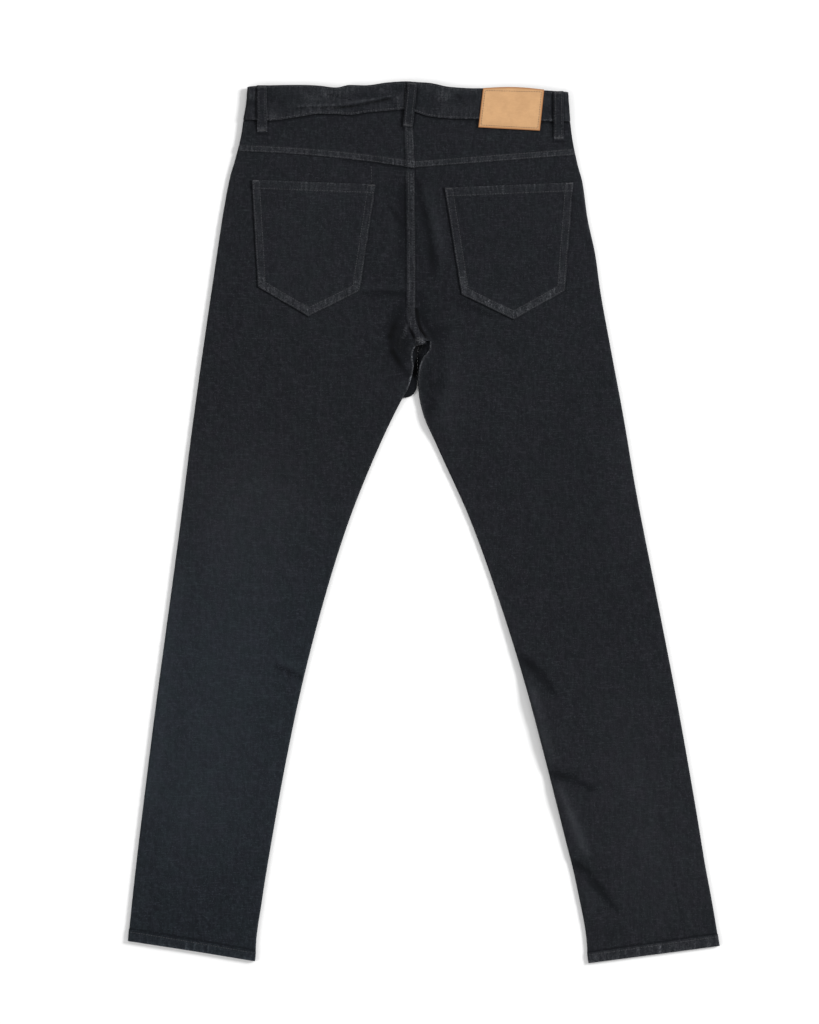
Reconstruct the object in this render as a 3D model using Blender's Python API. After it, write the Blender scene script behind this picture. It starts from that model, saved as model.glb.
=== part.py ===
# Slim tapered jeans, laid flat and face down
#
# x runs across the legs, y from the leg ends to the waistband, z up from the surface.
# The back of the jeans faces up, so the wearer's left leg is on the side of negative x.
import math
from collections import namedtuple

import bmesh
import bpy
from mathutils import Vector

# Cloth and seams, in metres
WALL = 0.0012
GAP = 0.0003
LAP_STEP = WALL + GAP
ROLL_WIDTH = 0.0029
BACK_LEVEL = 0.0054
SEAM_LEVEL = 0.0027
HEM_RELIEF = 0.0006
HEM_WIDER = 0.0005
POCKET_HEM_RELIEF = 0.0006
EDGE_ROUND = 0.0004

# How the layers climb from the hips to the waistband
RISE_START = 0.425
RISE_END = 0.497
FRONT_RISE = 0.0043
BACK_RISE = 0.0016
FRONT_DIP = 0.016
CENTRE_X = -0.0185
HALF_WAIST = 0.2

# Waistband layers
BAND_THICKNESS = 0.0022
BAND_BACK_TOP = 0.0095
BAND_FRONT_UNDER = 0.0018
BAND_INNER_LAP = 0.0018
BAND_LAP_END_LEFT = -0.0140
BAND_LAP_START_RIGHT = -0.0065
BAND_LAP_END_RIGHT = -0.0520
BAND_ROUND = 0.0006

# Belt loops, patch and button
LOOP_WIDTH = 0.0126
LOOP_THICKNESS = 0.0012
LOOP_BOW = 0.0012
LOOP_LINES = [0.0, 0.015, 0.18, 0.34, 0.5, 0.64, 0.74, 0.82, 0.9, 0.985, 1.0]
LOOP_COLUMNS = [-1.0, -0.93, -0.5, 0.0, 0.5, 0.93, 1.0]
LOOP_DROP_LENGTH = 0.009
FRONT_LOOP_EDGE_Y = 0.5005
PATCH_THICKNESS = 0.0013
PATCH_ARC = 0.0022
PATCH_DROP = 0.0013
PATCH_DROP_LENGTH = 0.010
PATCH_LINES = [0.0, 0.02, 0.12, 0.22, 0.32, 0.55, 0.8, 0.98, 1.0]
PATCH_COLUMNS = [0.0, 0.01, 0.17, 0.34, 0.5, 0.67, 0.84, 0.99, 1.0]
BUTTON_RADIUS = 0.0085
BUTTON_HEIGHT = 0.0015
BUTTON_CENTRE = (-0.0300, 0.5055)
BUTTON_SIDES = 28
# Rings of the button from the middle of its face to its back: radius, height
BUTTON_RINGS = [
    (0.0040, 0.0004), (0.0050, 0.0), (0.0078, 0.0), (BUTTON_RADIUS, 0.0006),
    (BUTTON_RADIUS, 0.0012), (0.0074, BUTTON_HEIGHT),
]

# Front pocket openings, measured from the side of the waistband
SCOOP_WIDTH = 0.092
SCOOP_DEPTH = 0.070
SCOOP_CORNER_Y = 0.5
SCOOP_STEPS = 10
FACING_RECESS = 0.0012
COIN_THICKNESS = 0.0008
FACING_START = 0.003
FACING_EASE = 0.006
FACING_TOP_Y = 0.496
FACING_TOP_EASE = 0.016
COIN_ARC = (0.0905, 0.0685)
COIN_TOP = [(0.0820, 0.4780), (0.0160, 0.4700)]

# Cutters reach from under the cloth to above it, and past it
CUT_LOW = -0.01
CUT_HIGH = 0.03
CUT_SPARE = 0.05
CUT_TOP_Y = 0.56
MERGE = 0.00002
LAP_PLAN = [(-0.0535, 0.4855), (-0.0055, 0.4855), (-0.0055, 0.5300), (-0.0535, 0.5300)]

# Colour, roughness and metal of the materials
DENIM = ((0.0185, 0.0200, 0.0236), 0.92, 0.0)
LOOKS = {
    "leather_patch": ((0.69, 0.40, 0.20), 0.62, 0.0),
    "fly_button": ((0.30, 0.28, 0.26), 0.38, 0.9),
}

Row = namedtuple("Row", "name outer_y inner_x inner_y bow steps lap roll inset hem")
CURVED_FIELDS = ("outer_y", "inner_x", "inner_y")
STRAIGHT_FIELDS = ("bow", "lap", "roll", "inset", "hem")
Fold = namedtuple("Fold", "name layer x0 y0 x1 y1 width height")

# Outer outlines of the two legs: y, x
LEFT_SIDE = [
    (0.5444, -0.2199), (0.5219, -0.2216), (0.5019, -0.2251), (0.4869, -0.2270), (0.4519, -0.2354),
    (0.4331, -0.2411), (0.4144, -0.2452), (0.3019, -0.2629), (0.0956, -0.2919), (0.0019, -0.3034),
    (-0.2794, -0.3409), (-0.5056, -0.3674), (-0.5244, -0.3691),
]
RIGHT_SIDE = [
    (0.5369, 0.1799), (0.4869, 0.1841), (0.4464, 0.1919), (0.4240, 0.1980), (0.3790, 0.2044),
    (0.3340, 0.2140), (0.2891, 0.2203), (0.2216, 0.2324), (0.1317, 0.2492), (0.0418, 0.2644),
    (-0.0930, 0.2907), (-0.2278, 0.3168), (-0.3627, 0.3405), (-0.4301, 0.3516), (-0.4751, 0.3600),
    (-0.5300, 0.3692),
]

# Back edge of the waistband as it lies: x, top y, lower y
BAND_BACK = [
    (-0.2160, 0.5428, 0.5012), (-0.1944, 0.5441, 0.5001), (-0.1531, 0.5446, 0.5052),
    (-0.1319, 0.5438, 0.5084), (-0.1094, 0.5414, 0.5081), (-0.0919, 0.5446, 0.5071),
    (-0.0731, 0.5441, 0.5099), (-0.0444, 0.5477, 0.5124), (-0.0219, 0.5490, 0.5141),
    (-0.0081, 0.5481, 0.5099), (0.0056, 0.5473, 0.5056), (0.0331, 0.5421, 0.5026),
    (0.0644, 0.5404, 0.5019), (0.1019, 0.5409, 0.5006), (0.1469, 0.5381, 0.4994),
    (0.1735, 0.5362, 0.4990),
]

# Yokes, from the part tucked under the waistband down to the seam band over the leg
LEFT_YOKE = [
    Row("tuck", 0.5095, -0.01465, 0.5205, 0.0, 1, 0, 0, 0.0037, 0),
    Row("band line", 0.5013, -0.0143, 0.5110, 0.0, 1, 0, 0, 0.0037, 0),
    Row("waist line", 0.5008, -0.0142, 0.5090, 0.0, 1, 0, 0, 0.0003, 0),
    Row("below waist", 0.4975, -0.0140, 0.5040, 0.0, 1, 1, 0, 0, 0),
    Row("upper", 0.4900, -0.0132, 0.4900, 0.0015, 2, 1, 0, 0, 0),
    Row("band top", 0.4709, -0.0116, 0.4509, 0.0037, 1, 1, 0, 0, 0),
    Row("band", 0.4684, -0.0114, 0.4481, 0.0037, 1, 1, 0, 0, 1),
    Row("edge", 0.4619, -0.0112, 0.4406, 0.0037, 0, 1, 0, 0, 1),
]
RIGHT_YOKE = [
    Row("tuck", 0.5060, -0.01435, 0.5205, 0.0, 1, 0, 0, 0.0037, 0),
    Row("band line", 0.4991, -0.0140, 0.5110, 0.0, 1, 0, 0, 0.0037, 0),
    Row("waist line", 0.4986, -0.0139, 0.5090, 0.0, 1, 0, 0, 0.0003, 0),
    Row("below waist", 0.4950, -0.0137, 0.5040, 0.0, 1, 0, 0, 0, 0),
    Row("upper", 0.4870, -0.0212, 0.4900, 0.0, 2, 0, 0, 0, 0),
    Row("band top", 0.4661, -0.0206, 0.4498, 0.0, 1, 0, 0, 0, 0),
    Row("band", 0.4639, -0.0205, 0.4474, 0.0, 1, 0, 0, 0, 1),
    Row("edge", 0.4571, -0.0204, 0.4406, 0.0, 0, 0, 0, 0, 1),
]

# Back legs, from under the yoke to the hem
LEFT_SEAT = [
    Row("yoke tuck", 0.4669, -0.0112, 0.4462, 0.0037, 1, 0, 0, 0.0016, 0),
    Row("yoke edge", 0.4614, -0.0112, 0.4388, 0.0037, 1, 0, 0, 0.0016, 0),
    Row("below yoke", 0.4569, -0.0112, 0.4346, 0.0035, 1, 1, 0, 0, 0),
    Row("seam start", 0.4512, -0.0114, 0.4300, 0.0030, 1, 1, 0, 0, 0),
    Row("pocket mouth", 0.4169, -0.0111, 0.4019, 0.0020, 3, 1, 0, 0, 0),
    Row("hip", 0.3444, -0.0104, 0.3344, 0, 3, 1, 0, 0, 0),
    Row("seat", 0.2619, -0.0106, 0.2569, 0, 1, 1, 0, 0, 0),
    Row("above fork", 0.2394, -0.0062, 0.2406, 0, 1, 1, 0, 0, 0),
    Row("fork top", 0.2294, 0.0006, 0.2306, 0, 1, 1, 0, 0, 0),
    Row("fork", 0.2231, 0.0030, 0.2225, 0, 1, 1, 0, 0, 0),
    Row("fork end", 0.2169, -0.0104, 0.2184, 0, 1, 0.5, 0.6, 0, 0),
    Row("lip", 0.2044, -0.0140, 0.2069, 0, 1, 0, 1, 0, 0),
    Row("lip middle", 0.1919, -0.0127, 0.1944, 0, 1, 0, 1, 0, 0),
    Row("lip foot", 0.1769, -0.0158, 0.1781, 0, 1, 0, 1, 0, 0),
    Row("leg joins", 0.1644, -0.0204, 0.1644, 0, 1, 0, 1, 0, 0),
]
RIGHT_SEAT = [
    Row("yoke tuck", 0.4624, -0.0109, 0.4456, 0, 1, 0, 0, 0.0016, 0),
    Row("yoke edge", 0.4566, -0.0109, 0.4401, 0, 1, 0, 0, 0.0016, 0),
    Row("below yoke", 0.4519, -0.0109, 0.4332, 0, 1, 0, 0, 0, 0),
    Row("seam start", 0.4462, -0.0204, 0.4286, 0, 1, 0, 0, 0, 0),
    Row("pocket mouth", 0.4169, -0.0201, 0.4019, 0, 3, 0, 0, 0, 0),
    Row("hip", 0.3444, -0.0194, 0.3344, 0, 3, 0, 0, 0, 0),
    Row("seat", 0.2631, -0.0196, 0.2569, 0, 1, 0, 0, 0, 0),
    Row("above fork", 0.2406, -0.0152, 0.2406, 0, 1, 0, 0, 0, 0),
    Row("fork top", 0.2319, -0.0082, 0.2313, 0, 1, 0, 0, 0, 0),
    Row("fork", 0.2275, -0.0032, 0.2263, 0, 1, 0, 0, 0, 0),
    Row("lip top", 0.2225, 0.0076, 0.2248, 0, 1, 0, 0.6, 0, 0),
    Row("lip", 0.2131, 0.0067, 0.2150, 0, 1, 0, 1, 0, 0),
    Row("lip middle", 0.2019, -0.0013, 0.2038, 0, 1, 0, 1, 0, 0),
    Row("lip foot", 0.1906, -0.0056, 0.1915, 0, 1, 0, 1, 0, 0),
    Row("leg joins", 0.1769, -0.0072, 0.1775, 0, 1, 0, 1, 0, 0),
]
LEFT_LEG = [
    Row("upper thigh", 0.1519, -0.0262, 0.1544, 0, 2, 0, 1, 0, 0),
    Row("thigh", 0.0919, -0.0555, 0.0944, 0, 2, 0, 1, 0, 0),
    Row("mid thigh", 0.0019, -0.0957, -0.0056, 0, 2, 0, 1, 0, 0),
    Row("above knee", -0.0931, -0.1270, -0.1069, 0, 2, 0, 1, 0, 0),
    Row("knee", -0.1869, -0.1520, -0.2044, 0, 2, 0, 1, 0, 0),
    Row("below knee", -0.2819, -0.1722, -0.3006, 0, 2, 0, 1, 0, 0),
    Row("calf", -0.3756, -0.1900, -0.3994, 0, 2, 0, 1, 0, 0),
    Row("lower calf", -0.4456, -0.2014, -0.4694, 0, 2, 0, 1, 0, 0),
    Row("above hem", -0.5076, -0.2096, -0.5351, 0.0004, 1, 0, 1, 0, 0),
    Row("hem line", -0.5090, -0.2096, -0.5364, 0.0004, 1, 0, 1, 0, 1),
    Row("hem", -0.5236, -0.2105, -0.5489, 0.0004, 0, 0, 1, 0, 1),
]
RIGHT_LEG = [
    Row("upper thigh", 0.1594, -0.0063, 0.1600, 0, 2, 0, 1, 0, 0),
    Row("thigh top", 0.1319, -0.0012, 0.1356, 0, 1, 0, 1, 0, 0),
    Row("thigh", 0.0944, 0.0163, 0.0950, 0, 2, 0, 1, 0, 0),
    Row("mid thigh", 0.0069, 0.0581, 0.0019, 0, 2, 0, 1, 0, 0),
    Row("above knee", -0.0881, 0.0931, -0.0956, 0, 2, 0, 1, 0, 0),
    Row("knee", -0.1831, 0.1247, -0.1969, 0, 2, 0, 1, 0, 0),
    Row("below knee", -0.2781, 0.1509, -0.2944, 0, 2, 0, 1, 0, 0),
    Row("calf", -0.3681, 0.1746, -0.3881, 0, 2, 0, 1, 0, 0),
    Row("lower calf", -0.4456, 0.1916, -0.4581, 0, 2, 0, 1, 0, 0),
    Row("above hem", -0.5141, 0.2041, -0.5375, 0, 1, 0, 1, 0, 0),
    Row("hem line", -0.5155, 0.2041, -0.5388, 0, 1, 0, 1, 0, 1),
    Row("hem", -0.5296, 0.2056, -0.5512, 0, 0, 0, 1, 0, 1),
]

# Fronts down to the crotch, hidden except between the two lips below the fork
LEFT_FRONT = [
    Row("tuck", 0.5090, -0.01865, 0.4945, 0, 1, 0, 0, 0.0037, 0),
    Row("band line", 0.5012, -0.01865, 0.4868, 0, 1, 0, 0, 0.0037, 0),
    Row("waist line", 0.5007, -0.01865, 0.4860, 0, 2, 0, 0, 0.0003, 0),
    Row("fly top", 0.4644, -0.01825, 0.4480, 0, 1, 0, 0, 0, 0),
    Row("fly start", 0.4456, -0.01805, 0.4319, 0, 1, 1, 0, 0, 0),
    Row("fly", 0.4369, -0.0135, 0.4244, 0, 3, 1, 0, 0, 0),
    Row("hip", 0.3444, -0.0115, 0.3344, 0, 2, 1, 0, 0, 0),
    Row("seat", 0.2769, -0.0085, 0.2674, 0, 1, 1, 0, 0, 0),
    Row("fly end", 0.2694, -0.01015, 0.2604, 0, 1, 1, 0, 0, 0),
    Row("crotch top", 0.2494, -0.00815, 0.2464, 0, 1, 0, 0, 0, 0),
    Row("crotch", 0.2244, -0.00615, 0.2244, 0, 1, 0, 0, 0, 0),
    Row("crotch middle", 0.2104, -0.00765, 0.2094, 0, 1, 0, 0, 0, 0),
    Row("crotch end", 0.1944, -0.00815, 0.1919, 0, 1, 0, 0, 0, 0),
    Row("crotch low", 0.1790, -0.00835, 0.1770, 0, 1, 0, 0, 0, 0),
    Row("split", 0.1680, -0.0089, 0.1665, 0, 1, 0, 0, 0, 0),
    Row("tip", 0.1600, -0.0194, 0.1553, 0, 1, 0, 1, 0, 0),
]
RIGHT_FRONT = [
    Row("tuck", 0.5055, -0.01835, 0.4945, 0, 1, 0, 0, 0.0037, 0),
    Row("band line", 0.4990, -0.01835, 0.4868, 0, 1, 0, 0, 0.0037, 0),
    Row("waist line", 0.4985, -0.01835, 0.4860, 0, 2, 0, 0, 0.0003, 0),
    Row("fly top", 0.4624, -0.01795, 0.4480, 0, 1, 0, 0, 0, 0),
    Row("fly start", 0.4456, -0.01775, 0.4319, 0, 1, 1, 0, 0, 0),
    Row("fly", 0.4369, -0.0225, 0.4244, 0, 3, 1, 0, 0, 0),
    Row("hip", 0.3444, -0.0205, 0.3344, 0, 2, 1, 0, 0, 0),
    Row("seat", 0.2769, -0.0175, 0.2674, 0, 1, 1, 0, 0, 0),
    Row("fly end", 0.2694, -0.00985, 0.2604, 0, 1, 1, 0, 0, 0),
    Row("crotch top", 0.2494, -0.00785, 0.2464, 0, 1, 0, 0, 0, 0),
    Row("crotch", 0.2244, -0.00585, 0.2244, 0, 1, 0, 0, 0, 0),
    Row("crotch middle", 0.2104, -0.00735, 0.2094, 0, 1, 0, 0, 0, 0),
    Row("crotch end", 0.1944, -0.00785, 0.1919, 0, 1, 0, 0, 0, 0),
    Row("crotch low", 0.1790, -0.00805, 0.1770, 0, 1, 0, 0, 0, 0),
    Row("split", 0.1680, -0.0070, 0.1665, 0, 1, 0, 1, 0, 0),
]

# How the waistband turns at a side and goes on in front
Turn = namedtuple("Turn", "x side low front_edge front_top front_low")
LEFT_TURN = Turn(-0.2216, LEFT_SIDE, 0.5012, 0.5415, 0.5425, 0.5014)
RIGHT_TURN = Turn(0.1814, RIGHT_SIDE, 0.4990, 0.5352, 0.5360, 0.4992)
TURN_STEPS = 6
BAND_MIDDLE_Y = 0.5219
BAND_LOW_DIP = 0.85
LEFT_STATIONS = [BAND_LAP_END_LEFT, -0.0300, -0.0560, -0.0950, -0.1350, -0.1750, -0.2050, -0.2140]
RIGHT_STATIONS = [0.1735, 0.1600, 0.1250, 0.0870, 0.0450, 0.0100, BAND_LAP_START_RIGHT]
LAPPED_STATIONS = [-0.0115, -0.0300, BAND_LAP_END_RIGHT]

# Soft forms of the cloth; a form on both layers lifts the front off the surface too
FOLDS = [
    Fold("button lap", "back", -0.0450, 0.5050, -0.0150, 0.5050, 0.0400, 0.0012),
    Fold("left leg middle", "back", -0.2000, 0.1000, -0.2850, -0.4300, 0.0500, -0.0007),
    Fold("right leg middle", "back", 0.1450, 0.0800, 0.2750, -0.4300, 0.0500, -0.0007),
    Fold("left seat", "back", -0.1400, 0.3700, -0.1500, 0.2600, 0.0600, -0.0004),
    Fold("right seat", "back", 0.1150, 0.3700, 0.1100, 0.2600, 0.0600, -0.0004),
    Fold("crotch", "both", -0.0030, 0.2150, -0.0030, 0.1950, 0.0260, 0.0062),
    Fold("right thigh ridge", "both", 0.0330, 0.1950, 0.0180, 0.1300, 0.0200, 0.0042),
    Fold("left thigh edge", "both", -0.0330, 0.2050, -0.0380, 0.1500, 0.0170, 0.0020),
    Fold("left valley", "back", -0.0320, 0.2360, -0.0240, 0.2050, 0.0090, -0.0016),
    Fold("right valley", "back", 0.0020, 0.2560, 0.0120, 0.2330, 0.0080, -0.0014),
    Fold("crotch valley", "front", -0.0045, 0.2200, -0.0095, 0.1880, 0.0058, -0.0056),
    Fold("seat trough", "back", -0.0030, 0.4000, 0.0150, 0.3150, 0.0080, -0.0009),
    Fold("left knee", "back", -0.1600, -0.1900, -0.1900, -0.1780, 0.0100, 0.0009),
    Fold("right knee", "back", 0.1290, -0.1860, 0.1660, -0.2130, 0.0100, -0.0010),
    Fold("right shin", "back", 0.1420, -0.2250, 0.1640, -0.2700, 0.0120, 0.0012),
    Fold("right calf", "back", 0.1640, -0.3190, 0.2240, -0.3310, 0.0110, -0.0010),
    Fold("right calf ridge", "back", 0.1780, -0.3480, 0.2120, -0.4060, 0.0120, 0.0011),
    Fold("right ankle", "back", 0.1950, -0.4320, 0.2400, -0.4780, 0.0110, -0.0010),
    Fold("band ridge", "band", -0.1450, 0.5150, -0.0950, 0.5190, 0.0080, 0.0010),
    Fold("band trough", "band", -0.0900, 0.5270, -0.0420, 0.5330, 0.0060, -0.0006),
]

# Corners of the back pockets, clockwise from the mouth's left end
LEFT_POCKET = [
    (-0.2146, 0.4264), (-0.0599, 0.4206), (-0.0798, 0.2876), (-0.1440, 0.2560), (-0.2070, 0.2929),
]
RIGHT_POCKET = [
    (0.0260, 0.4165), (0.1866, 0.4231), (0.1762, 0.2876), (0.1125, 0.2519), (0.0471, 0.2836),
]
POCKET_HEM = 0.012
HEM_STEP = 0.005
POCKET_COLUMNS = [0.0, 0.006, 0.10, 0.22, 0.36, 0.5, 0.64, 0.78, 0.90, 0.994, 1.0]
POCKET_LINES = [0.0, 0.006, 0.25, 0.42, 0.6, 0.8, 0.994, 1.0]
# Corners of the leather patch: lower left, lower right, upper right, upper left
PATCH = [(0.0680, 0.4916), (0.1447, 0.4874), (0.1501, 0.5386), (0.0739, 0.5404)]
# Belt loops on the back: top end, lower end
BACK_LOOPS = [
    ("belt_loop_side_left", (-0.2019, 0.5440), (-0.2016, 0.4859)),
    ("belt_loop_back_centre", (-0.0141, 0.5478), (-0.0200, 0.4919)),
    ("belt_loop_side_right", (0.1679, 0.5366), (0.1684, 0.4763)),
]
FRONT_LOOPS = [
    ("belt_loop_front_left", (-0.1250, 0.5340), (-0.1240, 0.4800)),
    ("belt_loop_front_right", (0.0870, 0.5320), (0.0860, 0.4780)),
]


def smooth(t):
    """Ease from 0 to 1."""
    t = min(max(t, 0.0), 1.0)
    return t * t * (3.0 - 2.0 * t)


def look_up(table, key):
    """Second column of a table at a key, on a smooth line through its rows."""
    rows = sorted(table)
    last = len(rows) - 1
    key = min(max(key, rows[0][0]), rows[last][0])
    i = 0
    while i < last - 1 and key > rows[i + 1][0]:
        i += 1
    low, high = rows[i], rows[i + 1]
    span = high[0] - low[0]
    t = (key - low[0]) / span
    before, after = rows[max(i - 1, 0)], rows[min(i + 2, last)]
    slope_low = span * (high[1] - before[1]) / (high[0] - before[0])
    slope_high = span * (after[1] - low[1]) / (after[0] - low[0])
    near = low[1] * (1 + 2 * t) + slope_low * t
    far = high[1] * (3 - 2 * t) + slope_high * (t - 1)
    return near * (1 - t) ** 2 + far * t * t


def fold_height(layer, x, y):
    """Height of all the soft forms of one layer at a place."""
    total = 0.0
    for fold in FOLDS:
        if fold.layer != layer:
            continue
        start = Vector((fold.x0, fold.y0))
        along = Vector((fold.x1, fold.y1)) - start
        away = Vector((x, y)) - start
        share = min(max(away.dot(along) / along.length_squared, 0.0), 1.0)
        distance = (away - along * share).length / fold.width
        total += fold.height * math.exp(-distance * distance)
    return total


def dip(x):
    """How much lower the front of the waist lies than the back."""
    return FRONT_DIP * max(0.0, 1.0 - ((x - CENTRE_X) / HALF_WAIST) ** 2)


def rise(x, y):
    """Climb towards the waistband, from 0 at the hips to 1 under the band."""
    return smooth((y + dip(x) - RISE_START) / (RISE_END - RISE_START))


def back_top(x, y):
    """Outside of the back panels."""
    return BACK_LEVEL + BACK_RISE * rise(x, y) + fold_height("both", x, y) + fold_height("back", x, y)


def front_under(x, y):
    """Outside of the front panels, which rests on the surface."""
    height = FRONT_RISE * rise(x, y) + fold_height("both", x, y) + fold_height("front", x, y)
    return max(height, 0.0)


def seam_level(x, y):
    """Height of the side seams and inseams."""
    return SEAM_LEVEL + 0.5 * (FRONT_RISE + BACK_RISE) * rise(x, y) + fold_height("both", x, y)


def spline(a, b, c, d, t):
    """Smooth passage from b to c."""
    bend = (2 * a - 5 * b + 4 * c - d) * t ** 2 + (3 * b - a - 3 * c + d) * t ** 3
    return 0.5 * (2 * b + (c - a) * t + bend)


def fill_rows(rows):
    """Add the rows between those of a table, as many as each row's steps."""
    filled = []
    for i, row in enumerate(rows):
        filled.append(row)
        if row.steps < 2 or i == len(rows) - 1:
            continue
        near = [rows[max(i - 1, 0)], row, rows[i + 1], rows[min(i + 2, len(rows) - 1)]]
        for k in range(1, row.steps):
            t = k / row.steps
            curved = [spline(*[getattr(r, field) for r in near], t) for field in CURVED_FIELDS]
            straight = [
                getattr(row, field) * (1 - t) + getattr(rows[i + 1], field) * t for field in STRAIGHT_FIELDS
            ]
            filled.append(Row(row.name, *curved, straight[0], 1, *straight[1:]))
    return filled


def round_edge(distance, width):
    """Share of the full height at a distance from a rolled edge."""
    if distance >= width:
        return 1.0
    away = (width - max(distance, 0.0)) / width
    return math.sqrt(max(0.0, 1.0 - away * away))


OUTER_TOP = [0.0, 0.0004, 0.0012, ROLL_WIDTH]
OUTER_BOTTOM = [WALL, 0.00145, 0.0019, ROLL_WIDTH]
SHARES = [0.10, 0.24, 0.38, 0.52, 0.66, 0.80, 0.92]
LAP_TOP = [0.0128, 0.0106, 0.0052, 0.0008, 0.0]
LAP_BOTTOM = [0.0114, 0.0094, 0.0052, 0.0008, 0.0]
LAP_HEIGHT = [0.0, 1.0, 1.0, 1.0, 0.85]
ROLL_TOP = [0.0075, ROLL_WIDTH, 0.0012, 0.0004, 0.0]
ROLL_BOTTOM = [0.0075, ROLL_WIDTH, 0.0019, 0.00145, WALL]


def row_points(row, side, outside, facing, step, relief, recess, wall):
    """Outer and inner points of one section of a panel, from its side to its middle."""
    inward = 1.0 if side[0][1] < 0 else -1.0
    outer = Vector((look_up(side, row.outer_y) + inward * (row.inset - row.hem * relief[1]), row.outer_y))
    inner = Vector((row.inner_x, row.inner_y))
    across = inner - outer
    width = across.length
    lines = []
    for faces_out in (True, False):
        near = OUTER_TOP if faces_out else OUTER_BOTTOM
        lap = LAP_TOP if faces_out else LAP_BOTTOM
        roll = ROLL_TOP if faces_out else ROLL_BOTTOM
        far = [a + (b - a) * row.roll for a, b in zip(lap, roll)]
        first = near[-1]
        last = width - far[0]
        places = [(d, 0.0) for d in near]
        places += [(first + (last - first) * share, 0.0) for share in SHARES]
        places += [(width - d, height) for d, height in zip(far, LAP_HEIGHT)]
        points = []
        for distance, height in places:
            t = distance / width
            plan = outer + across * t + Vector((0.0, row.bow * 4.0 * t * (1.0 - t)))
            seam = seam_level(*plan) + facing * GAP / 2
            surface = outside(*plan) + facing * row.hem * relief[0]
            surface += facing * step * height * row.lap
            surface -= facing * recess(distance, *plan)
            start = distance
            end = width - distance
            if faces_out:
                share = round_edge(start, ROLL_WIDTH)
                share *= 1.0 - row.roll * (1.0 - round_edge(end, ROLL_WIDTH))
            else:
                thickness = wall + row.hem * relief[2]
                surface -= facing * thickness
                if (surface - seam) * facing < 0.0:
                    surface = seam
                share = round_edge(start - WALL, ROLL_WIDTH - WALL)
                share *= 1.0 - row.roll * (1.0 - round_edge(end - WALL, ROLL_WIDTH - WALL))
            points.append(Vector((plan.x, plan.y, seam + (surface - seam) * share)))
        lines.append(points)
    return lines


def no_recess(distance, x, y):
    """A panel that keeps its own level."""
    return 0.0


def solid_from_grids(name, outer, inner):
    """Closed body between two grids of points of the same size."""
    rows = len(outer)
    columns = len(outer[0])
    verts = [p for line in outer for p in line] + [p for line in inner for p in line]
    under = rows * columns
    faces = []
    for i in range(rows - 1):
        for j in range(columns - 1):
            a = i * columns + j
            faces.append((a, a + 1, a + columns + 1, a + columns))
            faces.append((under + a, under + a + columns, under + a + columns + 1, under + a + 1))
    for i in range(rows - 1):
        for j in (0, columns - 1):
            a = i * columns + j
            faces.append((a, a + columns, under + a + columns, under + a))
    for j in range(columns - 1):
        for i in (0, rows - 1):
            a = i * columns + j
            faces.append((a, under + a, under + a + 1, a + 1))
    return new_object(name, verts, faces)


def new_object(name, verts, faces):
    """Mesh object with its faces turned out and cut into triangles."""
    mesh = bpy.data.meshes.new(name)
    mesh.from_pydata([tuple(v) for v in verts], [], faces)
    work = bmesh.new()
    work.from_mesh(mesh)
    bmesh.ops.triangulate(work, faces=work.faces[:])
    bmesh.ops.recalc_face_normals(work, faces=work.faces[:])
    work.to_mesh(mesh)
    work.free()
    obj = bpy.data.objects.new(name, mesh)
    bpy.context.scene.collection.objects.link(obj)
    return obj


def panel(name, rows, side, outside, facing, step=0.0, relief=(0.0, 0.0, 0.0), recess=no_recess, wall=WALL):
    """One cut piece of cloth, rolled at its seams."""
    outer = []
    inner = []
    for row in fill_rows(rows):
        top, bottom = row_points(row, side, outside, facing, step, relief, recess, wall)
        outer.append(top)
        inner.append(bottom)
    return solid_from_grids(name, outer, inner)


def prism(outline):
    """Upright body over a plan outline, for cutting."""
    verts = [(x, y, z) for z in (CUT_LOW, CUT_HIGH) for x, y in outline]
    count = len(outline)
    faces = [tuple(range(count))[::-1], tuple(range(count, 2 * count))]
    faces += [(i, (i + 1) % count, (i + 1) % count + count, i + count) for i in range(count)]
    return new_object("cutter", verts, faces)


def cut(obj, outline, operation):
    """Keep or take away what lies within a plan outline."""
    tool = prism(outline)
    change = obj.modifiers.new("cut", "BOOLEAN")
    change.object = tool
    change.operation = operation
    change.solver = "EXACT"
    bpy.context.view_layer.update()
    graph = bpy.context.evaluated_depsgraph_get()
    mesh = bpy.data.meshes.new_from_object(obj.evaluated_get(graph))
    obj.modifiers.clear()
    old = obj.data
    obj.data = mesh
    bpy.data.meshes.remove(old)
    bpy.data.objects.remove(tool)
    work = bmesh.new()
    work.from_mesh(obj.data)
    bmesh.ops.remove_doubles(work, verts=work.verts[:], dist=MERGE)
    bmesh.ops.dissolve_degenerate(work, edges=work.edges[:], dist=MERGE / 2)
    bmesh.ops.triangulate(work, faces=work.faces[:])
    bmesh.ops.recalc_face_normals(work, faces=work.faces[:])
    work.to_mesh(obj.data)
    work.free()


def scoop_outline(side, inset):
    """Plan of a front pocket opening: a quarter of an ellipse at the top corner of the front."""
    inward = 1.0 if side[0][1] < 0 else -1.0
    corner_x = look_up(side, SCOOP_CORNER_Y)
    reach = SCOOP_WIDTH - inset
    drop = SCOOP_DEPTH - inset
    points = []
    for k in range(SCOOP_STEPS + 1):
        angle = math.pi / 2 * k / SCOOP_STEPS
        x = corner_x + inward * reach * math.cos(angle)
        points.append((x, SCOOP_CORNER_Y - drop * math.sin(angle)))
    outside_x = corner_x - inward * CUT_SPARE
    points += [(outside_x, points[-1][1]), (outside_x, CUT_TOP_Y), (corner_x + inward * reach, CUT_TOP_Y)]
    return points


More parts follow.
